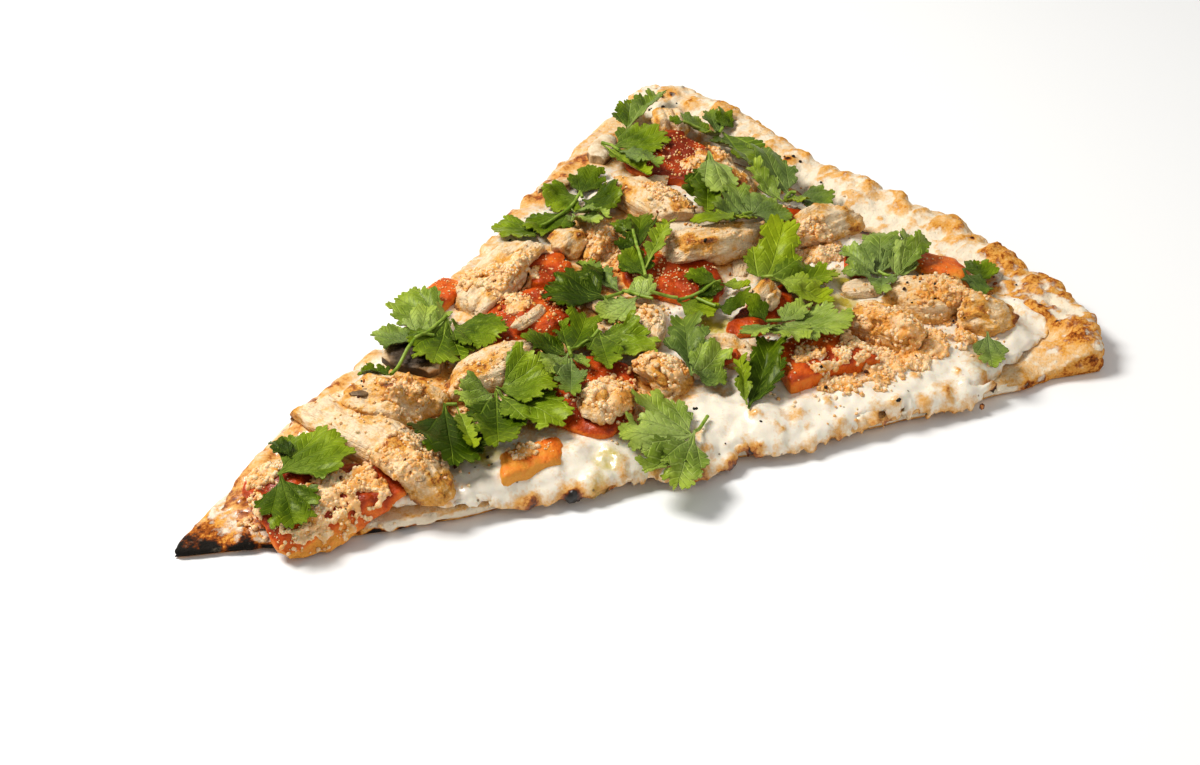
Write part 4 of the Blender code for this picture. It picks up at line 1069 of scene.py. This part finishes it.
def grains_mesh(name, grains, fineness, seed):
    """Uneven rounded grains, each given by its middle and size in metres, in one mesh."""
    ball, faces = ball_of(fineness)
    draw = np.random.default_rng(seed)
    count = len(grains)
    uneven = ball * draw.uniform((0.7, 0.7, 0.55), (1.35, 1.1, 1.0), (count, 1, 3))
    uneven = uneven * draw.uniform(0.72, 1.2, (count, len(ball), 1))
    turns = np.linalg.qr(draw.normal(size=(count, 3, 3)))[0]
    points = np.einsum("gpk,glk->gpl", uneven, turns) * np.array([size for _, size in grains])[:, None, None]
    points += np.array([middle for middle, _ in grains])[:, None]
    faces = faces + len(ball) * np.arange(count)[:, None, None]
    mesh = bpy.data.meshes.new(name)
    mesh.from_pydata(points.reshape(-1, 3).tolist(), [], faces.reshape(-1, 3).tolist())
    return mesh


def places_of(grains):
    """The middles of grains, in millimetres from the tip."""
    return np.array([middle for middle, *_ in grains]) / MM - TIP


def heap_grains(ground):
    """The middle and size of each grain of the heaps, close together in ragged patches."""
    draw = random.Random(60)
    found = []
    for heaps, cover in ((HEAPS, HEAP_COVER), (THIN_HEAPS, THIN_COVER)):
        for x, y, radius, height in heaps:
            for _ in range(round(cover * math.pi * radius**2)):
                rest = fall(ground, x, y, radius, draw)
                if rest:
                    hit, normal, out = rest
                    size = draw.uniform(*HEAP_GRAINS) * MM
                    lift = draw.random() * height * max(0, 1 - out**2) * MM
                    found.append((hit + normal * size * 0.1 + Vector((0, 0, lift)), size, out))
    places = places_of(found)
    patch = waves(places, 3.4, 74) + 0.5 * waves(places, 1.8, 75) - 0.7 * np.array([out for *_, out in found])
    return [grain[:2] for grain, near in zip(found, patch) if near > -0.75]


def make_bed(grains, material):
    """The heaps' grains sunk and grown together, with painted shade darkening the hollows between them."""
    sunk = [(middle - Vector((0, 0, BED_SUNK * MM)), BED_GROWTH * size) for middle, size in grains]
    bed = made_of_squares("garlic_bed", grains_mesh("grains", sunk, 1, 59), BED_SQUARES)
    mesh = bed.data
    points = read(mesh)
    bumps = 0.16 * waves(points, 1.1, 76) + 0.1 * waves(points, 0.6, 77)
    write(mesh, points + normals(mesh) * bumps[:, None])
    deep = ((relaxed(mesh, points, 3) - points) * normals(mesh)).sum(axis=1)
    # Painted shade: the toast mask rises in the hollows between the grains, so they come out darker.
    keep_mask(mesh, "toast", 0.3 + 0.22 * waves(points, 3.0, 78) + 0.6 * smooth(deep, 0.0, 0.25))
    return dress(bed, "melted_cheese", None, material)


def make_grains(name, grains, material, browning, fineness, seed):
    """One piece of many grains, each browned by its own share."""
    mesh = grains_mesh(name, grains, fineness, seed)
    each = np.random.default_rng(seed).normal(browning, 0.07, len(grains))
    each += 0.22 * waves(places_of(grains), 3.4, 73)
    keep_mask(mesh, "toast", np.repeat(each, len(mesh.vertices) // len(grains)))
    return dress(new_piece(name, mesh), "melted_cheese", None, material)


def scatter(name, circles, size, ground, material, browning, fineness, seed):
    """Grains that lie loose on the surface."""
    draw = random.Random(seed)
    found = []
    for x, y, radius, wanted in circles:
        for _ in range(wanted):
            rest = fall(ground, x, y, radius, draw)
            if rest:
                big = draw.uniform(*size) * MM
                found.append((rest[0] + rest[1] * big * 0.3, big))
    return make_grains(name, found, material, browning, fineness, seed)


laid = [bread, cheese, *tomatoes, *mushrooms, *chunks, *bits]
ground = faces_of(laid)
golden = crumb_material("toasted_crumbs", (0.86, 0.65, 0.4), (0.74, 0.35, 0.07))
pale = crumb_material("pale_crumbs", (0.86, 0.64, 0.38), (0.78, 0.44, 0.15))
burnt = crumb_material("burnt_specks", (0.1, 0.05, 0.02), (0.05, 0.02, 0.01))
in_heaps = heap_grains(ground)
make_bed(in_heaps, golden)
raised = [(middle + Vector((0, 0, GRAIN_RAISED * size)), size) for middle, size in in_heaps]
heaps = make_grains("garlic_heaps", raised, golden, browning=0.24, fineness=1, seed=60)
scatter("garlic_crumbs", LOOSE, GRAIN_SIZE, ground, golden, browning=0.22, fineness=2, seed=61)
scatter("cheese_crumbs", PALE, PALE_SIZE, ground, pale, browning=0.15, fineness=1, seed=62)
scatter("dark_specks", DARK, SPECK_SIZE, faces_of([*laid, heaps]), burnt, browning=0.9, fineness=1, seed=63)


# ---- The herb leaves -------------------------------------------------------------------------
# Sprigs of fresh cilantro. Each leaflet is one thin blade with toothed lobes, quilted between
# its veins, draped over what lies below it. Narrow ones are folded along the middle.

# Sprigs: the leaflets of each, as (x, y, heading in degrees, length, width, tint), and its stems,
# as the two places that each joins.
# Tints: d dark, painted shade for leaflets that lie in shadow; m middle green; l light, greyed a little as a
# painted highlight; y yellow-green; g grey-green, partly the underside's own colour and partly painted sheen.
SPRIGS = (
    (((27.5, -3, 2, 18, 19.5, "m"), (28, -3.5, -113, 16.5, 13, "m"), (32.5, -1, 83, 8.5, 4.5, "d")), ()),
    (((69, 11.5, 115, 8, 8, "m"), (80.5, 18, 103, 11, 12, "g"), (92.5, 23.5, 100, 15.5, 13, "l"),
      (83, 20, 45, 14, 8.5, "l"), (86.5, 18.5, 39, 11.5, 4.5, "l"), (93, 22, -135, 20.5, 14.5, "m"),
      (94, 21.5, -78, 15.5, 12.5, "m")),
     ((69, 11.5, 80.5, 18), (80.5, 18, 93, 22), (83, 20, 86.5, 18.5))),
    (((73, -4, -122, 27, 16, "d"), (75.5, -5.5, -116, 22, 3.5, "y")),
     ((73.5, -4, 75.5, -5.5),)),
    (((85, -8, 177, 10, 9.5, "l"), (85, -8, -126, 25.5, 12.5, "m"), (85, -8, -81, 22, 14, "m"),
      (85, -8, -27, 14, 17.5, "m")), ()),
    (((106.5, -8.5, 116, 11.5, 11, "m"), (106.5, -8.5, 38, 19.5, 10.5, "m"),
      (106.5, -8.5, -152, 12, 7.5, "l"), (106.5, -8.5, -95, 8.5, 3, "l"),
      (104, -12.5, -129, 17.5, 6.5, "g"), (118.5, -5, -26, 10, 5.5, "m"), (118.5, -5, -73, 16, 11.5, "m"),
      (118.5, -5, -121, 18.5, 7.5, "m")),
     ((106.5, -8.5, 118.5, -5), (106.5, -8.5, 104, -12.5))),
    (((123, -34, 54, 22.5, 10, "g"), (123, -34, 15, 13.5, 8.5, "l"), (124, -33.5, -36, 8, 4.5, "g")), ()),
    (((127.5, -49, 32, 21.5, 9.5, "d"), (127.5, -48.5, 55, 14.5, 3, "y")), ()),
    (((111.5, -48.5, 97, 16.5, 11.5, "l"), (111.5, -48.5, 146, 17.5, 12, "l"),
      (111.5, -48.5, -170, 19, 7.5, "l"), (111.5, -48.5, -144, 18.5, 9.5, "l")),
     ((111.5, -48.5, 118.5, -45),)),
    (((135, 5.5, 88, 18.5, 5, "g"), (129.5, 5.5, 118, 15, 22, "d"), (136, 0.5, 171, 11.5, 9.5, "l"),
      (135, -0.5, 40, 8.5, 6.5, "l")),
     ((135, 5.5, 135.5, -0.5), (129.5, 5.5, 135, 5.5), (135.5, -0.5, 137, -3.5))),
    (((140.5, 3.5, 71, 12.5, 8.5, "m"), (142, 5.5, 33, 22.5, 4.5, "y"), (147.5, 15, 47, 17, 7.5, "m"),
      (147.5, 15.5, 103, 6, 5, "d"), (152, 22, 94, 7, 5, "m")),
     ((140.5, 3.5, 147.5, 15), (147.5, 15, 152, 22))),
    (((138, 42.5, 161, 12.5, 15.5, "m"), (149.5, 45, -165, 16, 12.5, "m"), (157, 49.5, 172, 10.5, 12, "m"),
      (157, 49.5, 36, 13, 9, "m"), (156, 47.5, -78, 12, 10.5, "m"), (149.5, 43.5, -111, 17.5, 7.5, "l"),
      (150, 45, -84, 14.5, 4, "l")),
     ((138, 42.5, 149.5, 45), (149.5, 45, 157, 49.5), (157, 49.5, 156, 47.5))),
    (((175.5, 59, -12, 16, 16, "m"), (174, 61.5, -91, 20.5, 5, "y"), (174.5, 54.5, -75, 13.5, 6.5, "g")),
     ((175.5, 59, 174, 61.5), (175.5, 59, 174.5, 54.5))),
    (((188.5, 68, 48, 16, 7.5, "m"), (188.5, 68, 24, 21.5, 7, "l")), ()),
    (((198.5, 56, 9, 8.5, 7.5, "l"), (198.5, 56, 141, 4, 4, "m"), (209, 51.5, -114, 26.5, 13.5, "m"),
      (207, 51, 63, 11, 5, "g"), (209, 51.5, 43, 8.5, 5, "m"), (206.5, 50.5, -164, 8, 5, "m")),
     ((198.5, 56, 206.5, 50.5), (206.5, 50.5, 209, 51.5))),
    (((188, 34, -146, 18, 7, "m"), (188, 34, -132, 26.5, 8, "m"), (188, 34, -115, 18.5, 9.5, "l")), ()),
    (((179.5, 7.5, 65, 14.5, 9, "g"), (179.5, 7.5, 29, 13.5, 8, "g"), (179.5, 7, -34, 10, 13.5, "g"),
      (179, 7.5, -155, 7, 6, "y"), (178, 8.5, 118, 9, 6, "g"), (176.5, 7.5, 165, 14.5, 7, "y")),
     ((179.5, 7.5, 176.5, 7.5),)),
    (((199, 13.5, 74, 18.5, 11, "g"), (195.5, 12, 89, 14, 5, "l"), (200, 12.5, -52, 10, 15.5, "g"),
      (200, 13.5, -125, 10.5, 6.5, "y")),
     ((195.5, 12, 199, 13.5), (199, 13.5, 200, 12.5))),
    (((161.5, -16, 34, 25, 13, "y"), (161.5, -16, -15, 21, 10.5, "m"), (163.5, -18, -52, 15.5, 7.5, "y")),
     ((161.5, -16, 163.5, -18),)),
    (((155.5, -7.5, 126, 9, 5.5, "m"), (155.5, -7.5, -43, 7.5, 4, "y"), (142, -7, -60, 10.5, 8.5, "y"),
      (147.5, -15, -45, 8.5, 6.5, "m"), (146.5, -9, -9, 7, 5, "d")),
     ((136.5, -3, 142, -7), (142, -7, 148.5, -9), (148.5, -9, 155.5, -7.5), (146, -9.5, 147.5, -15))),
    (((154.5, -31, -54, 17, 17, "l"), (154.5, -31, 14, 10.5, 6.5, "l"), (153.5, -31, -115, 14, 10.5, "l"),
      (152, -29.5, -153, 13.5, 8.5, "l"), (151.5, -29, 85, 7, 5, "m")),
     ((151.5, -29, 154.5, -31),)),
    (((189.5, -29, 44, 19.5, 11, "g"), (189.5, -29, 90, 13, 6, "g"), (189.5, -29, 13, 17, 5.5, "g"),
      (189.5, -35, 30, 16, 6, "l"), (189.5, -30.5, -138, 12, 6, "g"), (187.5, -30, 112, 9, 4, "g"),
      (192, -33.5, 13, 13, 5, "l")),
     ((189.5, -29, 189.5, -35),)),
    (((206, -42, -7, 10.5, 8, "m"), (206, -42, -98, 10, 6.5, "g")), ()),
    (((193, -63, -131, 13.5, 7.5, "g"),), ()),
)  # fmt: skip
# Each tint, as how light, how yellow and how grey it is from 0 to 1
TINTS = {
    "d": (0.0, 0.2, 0.0), "m": (0.4, 0.35, 0.0), "l": (0.8, 0.3, 0.35), "y": (0.75, 0.75, 0.0),
    "g": (0.5, 0.1, 0.7),
}  # fmt: skip
UNDERSIDE = {"light": 0.0, "yellow": 0.0, "grey": 0.35}  # how the lower side differs
# Half of a blade's outline from its stalk to the end of its middle lobe, as shares of length and width
BLADE = (
    (0.0, 0.02), (0.13, 0.06), (0.21, 0.19), (0.28, 0.37), (0.38, 0.5), (0.52, 0.54), (0.64, 0.5),
    (0.73, 0.43), (0.74, 0.34), (0.64, 0.22), (0.46, 0.11), (0.62, 0.19), (0.79, 0.35), (0.94, 0.35),
    (1.02, 0.2),
)  # fmt: skip
NOTCH = 10  # which of them is the deep notch beside the middle lobe
LENGTH_SHARE, WIDTH_SHARE = 0.96, 0.93  # of a leaflet's given size, which its teeth then fill out
BLADE_THICKNESS = 0.28
BLADE_STEP = 0.8  # between the points inside a blade
EDGE_GAP = 0.45  # from the outline to the nearest of them
TOOTH = 1.55  # width of one tooth
TOOTH_DEPTH = 0.88
LOBE = 4.7  # width of one small lobe
LOBE_DEPTH = 1.5
VEIN_SPREAD = 0.36  # angle between two main veins
HIGHEST_LEAF = 18.9
STEM_RADIUS = 0.45
STEM_SIDES = 7


class Surface:
    """How high everything laid so far reaches, on a grid of small cells."""

    CELL = 0.7
    LOW = np.array((-20.0, -110.0))
    CELLS = (380, 320)

    def __init__(self, things):
        self.height = np.zeros(self.CELLS)
        for thing in things:
            self.lay(read(thing.data))
        self.close_gaps()

    def cells(self, points):
        found = np.round((points[:, :2] - self.LOW) / self.CELL).astype(int)
        return tuple(found.clip(0, np.array(self.CELLS) - 1).T)

    def lay(self, points):
        np.maximum.at(self.height, self.cells(points), points[:, 2])

    def close_gaps(self):
        for axis in (0, 1):
            both = np.maximum(np.roll(self.height, 1, axis), np.roll(self.height, -1, axis))
            self.height = np.maximum(self.height, np.where(self.height < both - 3, both - 0.4, self.height))

    def under(self, points):
        return self.height[self.cells(points)]


def level(flat):
    """Flat places, with a height of 0."""
    return np.column_stack([flat, np.zeros(len(flat))])


def smooth_line(knots, step):
    """Points about a step apart on a smooth curve through the knots."""
    knots = np.array(knots, float)
    ends = [2 * knots[0] - knots[1], *knots, 2 * knots[-1] - knots[-2]]
    fine = []
    for before, first, second, after in zip(ends, ends[1:], ends[2:], ends[3:]):
        for t in np.linspace(0, 1, 12, endpoint=False):
            bend = before - 2.5 * first + 2 * second - 0.5 * after
            turn = 1.5 * (first - second) + 0.5 * (after - before)
            fine.append(first + 0.5 * t * (second - before) + t * t * bend + t * t * t * turn)
    fine = np.array([*fine, knots[-1]])
    reach = np.concatenate([[0], np.cumsum(np.linalg.norm(np.diff(fine, axis=0), axis=1))])
    wanted = np.linspace(0, reach[-1], max(3, round(reach[-1] / step)))
    return np.column_stack([np.interp(wanted, reach, fine[:, k]) for k in range(fine.shape[1])]), wanted


def toothed_half(length, width, draw, side):
    """One side of a blade's outline, from its stalk to its tip, with rounded teeth and small lobes."""
    knots = [(u * length, v * width) for u, v in BLADE]
    knots = [(u + draw.uniform(-1, 1) * 0.02 * length, v * draw.uniform(0.93, 1.07)) for u, v in knots]
    knots[NOTCH] = (knots[NOTCH][0], knots[NOTCH][1] + width * draw.uniform(0, 0.13))
    knots[0], knots[-1] = (0, 0.25), (length * 1.01, 0.0)
    line, reach = smooth_line(knots, 0.32)
    ways = np.gradient(line, axis=0)
    ways /= np.linalg.norm(ways, axis=1)[:, None]
    out = np.column_stack([-ways[:, 1], ways[:, 0]]) + (0.2, 0)
    uneven = reach + 0.5 * waves(level(line), 4.0, draw.randrange(99))
    scale = draw.uniform(0.85, 1.1) * min(1, 0.5 + length / 36)
    grown = smooth(line[:, 0] / length, 0.2, 0.4) * min(1, length / 16)
    for every, depth, curve in ((TOOTH * scale, TOOTH_DEPTH, 2.6), (LOBE * scale, LOBE_DEPTH, 3.0)):
        teeth = 1 - np.abs(2 * ((uneven / every + draw.random()) % 1) - 1) ** curve
        line = line + out * (depth * (teeth - 0.6) * grown)[:, None]
    line[:, 1] = line[:, 1].clip(0.0)
    return line * (1, side)


def blade_outline(length, width, draw):
    right = toothed_half(length, width, draw, -1)
    left = toothed_half(length, width, draw, 1)
    return np.vstack([right[:-1], left[:0:-1]])


def fill_blade(outline):
    """Points and triangles over a blade's outline."""
    low, high = outline.min(axis=0), outline.max(axis=0)
    rows = enumerate(np.arange(low[1], high[1], BLADE_STEP * 0.87))
    along = np.arange(low[0], high[0], BLADE_STEP)
    inner = np.array([(x + (i % 2) * BLADE_STEP / 2, y) for i, y in rows for x in along])
    near = np.min(np.linalg.norm(inner[:, None] - outline[None, ::2], axis=2), axis=1)
    corners = [Vector(place) for place in np.vstack([outline, inner[near > EDGE_GAP]])]
    points, _, faces, *_ = delaunay_2d_cdt(corners, [], [list(range(len(outline)))], 1, 1e-4)
    used = sorted({corner for face in faces for corner in face})
    number = {old: new for new, old in enumerate(used)}
    return np.array(points)[used], [[number[corner] for corner in face] for face in faces]


def blade_height(flat, anchors):
    """The height of a leaf solid at some places, eased between its own corners."""
    away = ((flat[:, None] - anchors[None, :, :2]) ** 2).sum(axis=2)
    weight = 1 / (away + 2.0) ** 2
    return (weight * anchors[None, :, 2]).sum(axis=1) / weight.sum(axis=1)


def sides_of(face):
    return zip(face, [*face[1:], face[0]])


def draped(height, below, faces):
    """A blade's heights, laid over what is below it without sharp steps."""
    pairs = {tuple(sorted(side)) for face in faces for side in sides_of(face)}
    pairs = np.array(sorted(pairs)).T
    for _ in range(5):
        height = eased(np.maximum(height, below), pairs, 0.5)
        height = eased(height, pairs, 0.5)
    height = np.maximum(height, below)
    for _ in range(3):
        height = eased(height, pairs, 0.5)
    return height


def lay_blade(leaflet, anchors, top, draw):
    """The points, faces, own places and masks of the upper side of one leaflet."""
    x, y, heading, length, width, tint = leaflet
    length, width = LENGTH_SHARE * length, WIDTH_SHARE * width
    own, faces = fill_blade(blade_outline(length, width, draw))
    flat = own @ ways_at(heading) + (x, y)
    height = draped(blade_height(flat, anchors), top.under(flat) + 0.25, faces)
    reach = np.hypot(*own.T) / length
    angle = np.arctan2(own[:, 1], own[:, 0].clip(1e-6))
    quilt = np.sin(math.pi * angle / VEIN_SPREAD) ** 2 * smooth(reach, 0.1, 0.5)
    folded = max(0.0, 0.62 - width / length)
    rise = 0.5 * quilt + np.abs(own[:, 1]) * 1.6 * folded
    ruffle = waves(level(flat), 4.2, draw.randrange(99)) * smooth(reach, 0.35, 0.95)
    tip_lift = draw.uniform(-0.3, 1.2) * smooth(reach, 0.5, 1.0)
    height = height + rise.clip(0, 2.6) + 0.95 * (ruffle + 0.4).clip(0) + tip_lift.clip(0)
    too_high = (height - (HIGHEST_LEAF - 1)).clip(0)
    height = np.where(too_high > 0, HIGHEST_LEAF - 1 / (1 + too_high), height).clip(1.0)
    light, yellow, grey = TINTS[tint]
    masks = {
        "light": light + draw.uniform(-0.28, 0.14) + 0.22 * smooth(reach, 0.5, 1.0),
        "yellow": yellow + 0.4 * smooth(reach, 0.6, 1.0),
        # Grey-green: partly the underside's own colour and partly painted sheen, greyest towards the stalk.
        "grey": (grey + 0.3 * (1 - smooth(reach, 0.2, 0.7))) * (1 - 0.6 * smooth(reach, 0.6, 1.0)),
    }
    return np.column_stack([flat, height]), faces, own / length, masks


def thick_blade(over, faces):
    """A blade closed below and around its edge, from the points and faces of its upper side."""
    count = len(over)
    sides = [side for face in faces for side in sides_of(face)]
    known = set(sides)
    lower = [[count + corner for corner in reversed(face)] for face in faces]
    edge = [[b, a, count + a, count + b] for a, b in sides if (b, a) not in known]
    return np.vstack([over, over - (0, 0, BLADE_THICKNESS)]), [*faces, *lower, *edge]


def tube(path, radius):
    """A round stem along a path, as points and faces."""
    points, faces = [], []
    for i, spot in enumerate(path):
        way = Vector(path[min(i + 1, len(path) - 1)] - path[max(i - 1, 0)]).normalized()
        across = way.cross(UP).normalized()
        upward = across.cross(way)
        for k in range(STEM_SIDES):
            angle = math.tau * k / STEM_SIDES
            points.append(Vector(spot) + radius * (math.cos(angle) * across + math.sin(angle) * upward))
    for i in range(len(path) - 1):
        for k in range(STEM_SIDES):
            a, b = i * STEM_SIDES + k, i * STEM_SIDES + (k + 1) % STEM_SIDES
            faces.append([a, b, b + STEM_SIDES, a + STEM_SIDES])
    faces.append(list(range(STEM_SIDES))[::-1])
    faces.append([(len(path) - 1) * STEM_SIDES + k for k in range(STEM_SIDES)])
    return np.array(points), faces


def lay_stem(ends, anchors, top):
    """The points and faces of one stem, laid over what is below it."""
    x, y, end_x, end_y = ends
    line = np.linspace((x, y), (end_x, end_y), max(4, round(math.hypot(end_x - x, end_y - y) / 0.9)))
    height = np.maximum(blade_height(line, anchors), top.under(line) + 0.1) + 0.5
    height = np.convolve(np.pad(height, 2, "edge"), np.ones(5) / 5, "valid")
    return tube(np.column_stack([line, height.clip(1.2, HIGHEST_LEAF - 0.6)]), STEM_RADIUS)


def make_veins():
    """Main veins that spread from the stalk, and side veins that branch from them."""
    tree, given, result = effect("veins", {"Place": "place"}, {"Vein": "number", "Height": "number"})
    x, y, _ = node(tree, "ShaderNodeSeparateXYZ", {0: given["Place"]}).outputs
    reach = sums(tree, "ADD", sums(tree, "POWER", x, 2.0), sums(tree, "POWER", y, 2.0))
    reach = sums(tree, "SQRT", reach)
    angle = sums(tree, "DIVIDE", sums(tree, "ARCTAN2", y, x), VEIN_SPREAD)
    nearest = sums(tree, "ABSOLUTE", sums(tree, "SUBTRACT", angle, sums(tree, "ROUND", angle)))
    away = sums(tree, "MULTIPLY", nearest, sums(tree, "MULTIPLY", reach, VEIN_SPREAD))
    width = stretched(tree, reach, 0.0, 1.0, 0.02, 0.006)
    main = clamped(tree, sums(tree, "SUBTRACT", 1.0, sums(tree, "DIVIDE", away, width)))
    stripes = sums(tree, "SUBTRACT", sums(tree, "MULTIPLY", reach, 9.0), sums(tree, "MULTIPLY", away, 11.0))
    side = sums(tree, "ABSOLUTE", sums(tree, "SUBTRACT", sums(tree, "FRACT", stripes), 0.5))
    vein = sums(tree, "MAXIMUM", main, stretched(tree, side, 0.0, 0.16, 0.55, 0.0))
    tree.links.new(vein, result["Vein"])
    tree.links.new(sums(tree, "SUBTRACT", 1.0, vein), result["Height"])
    return tree


def leaf_material():
    made, tree, shader = new_material("cilantro_leaf")
    place = place_in_mm(tree)
    veins = use(tree, make_veins(), Place=place_of(tree, "on_blade"))
    patches = sums(tree, "SUBTRACT", noise(tree, place, 3.5, 3.0), 0.5)
    light = sums(tree, "MULTIPLY_ADD", patches, 0.85, mask_of(tree, "light"))
    light = sums(tree, "MULTIPLY_ADD", veins["Vein"], 0.42, light)
    # The palest stop is a painted highlight, a whitish green for the lightest parts of the leaves.
    green = ramp(tree, light, (0.0, (0.014, 0.035, 0.001)), (0.35, (0.055, 0.105, 0.002)),
                 (0.7, (0.15, 0.235, 0.009)), (1.0, (0.46, 0.56, 0.19)))  # fmt: skip
    yellow = ramp(tree, light, (0.1, (0.06, 0.095, 0.001)), (0.9, (0.3, 0.37, 0.015)))
    grey = ramp(tree, light, (0.1, (0.06, 0.1, 0.02)), (0.9, (0.25, 0.32, 0.11)))
    colour = mix(tree, mask_of(tree, "yellow"), green, yellow)
    colour = mix(tree, mask_of(tree, "grey"), colour, grey)
    height = sums(tree, "MULTIPLY_ADD", grain_height(tree, place, 0.6, 0.0), 0.9, veins["Height"])
    feed(tree, shader, Base_Color=colour, Roughness=0.35, Specular_IOR_Level=0.4,
         Specular_Tint=(0.85, 1.0, 0.1, 1), Coat_Weight=0.1, Coat_Roughness=0.25, Subsurface_Weight=0.1,
         Subsurface_Radius=(0.0006, 0.0012, 0.0002), Normal=relief(tree, height, 0.22))  # fmt: skip
    return made


def stem_material():
    made, tree, shader = new_material("cilantro_stem")
    place = place_in_mm(tree)
    colour = ramp(tree, noise(tree, place, 2.0, 2.0), (0.35, (0.16, 0.26, 0.012)), (0.7, (0.36, 0.46, 0.08)))
    height = grain_height(tree, place, 0.5, 0.0)
    feed(tree, shader, Base_Color=colour, Roughness=0.4, Subsurface_Weight=0.1,
         Subsurface_Radius=(0.0006, 0.0012, 0.0003), Normal=relief(tree, height, 0.1))  # fmt: skip
    return made


def make_sprig(number, leaflets, stems, top, *finishes):
    """One sprig: thin blades on round stems, in one mesh."""
    solid = f"leaf_{number:02}"
    draw = random.Random(500 + number)
    anchors = read(solids[solid].data)
    anchors = anchors[anchors[:, 2] > np.percentile(anchors[:, 2], 5)]
    points, faces, finish, places = [], [], [], []
    masks = {name: [] for name in UNDERSIDE}
    for leaflet in leaflets:
        over, upper, own, tints = lay_blade(leaflet, anchors, top, draw)
        first = sum(map(len, points))
        blade, patch = thick_blade(over, upper)
        points.append(blade)
        places += [own, own]
        for name, values in tints.items():
            masks[name] += [values, (values + UNDERSIDE[name]).clip(0, 1)]
        faces += [[first + corner for corner in face] for face in patch]
        finish += [0] * len(patch)
        top.lay(over)
    for stem in stems:
        ring, patch = lay_stem(stem, anchors, top)
        first = sum(map(len, points))
        points.append(ring)
        places.append(np.zeros((len(ring), 2)))
        for values in masks.values():
            values.append(np.zeros(len(ring)))
        faces += [[first + corner for corner in face] for face in patch]
        finish += [1] * len(patch)
    mesh = mesh_of(solid + "_sprig", np.vstack(points), faces)
    mesh.polygons.foreach_set("material_index", finish)
    for name, values in masks.items():
        keep_mask(mesh, name, np.concatenate(values))
    keep_places(mesh, "on_blade", level(np.vstack(places)))
    sprig = dress(new_piece(mesh.name, mesh), "herb_leaf", solid, *finishes)
    mesh.set_sharp_from_angle(angle=math.radians(60))
    return sprig


surface = Surface([*laid, heaps])
greens = leaf_material(), stem_material()
sprigs = [make_sprig(number, *sprig, surface, *greens) for number, sprig in enumerate(SPRIGS, 1)]
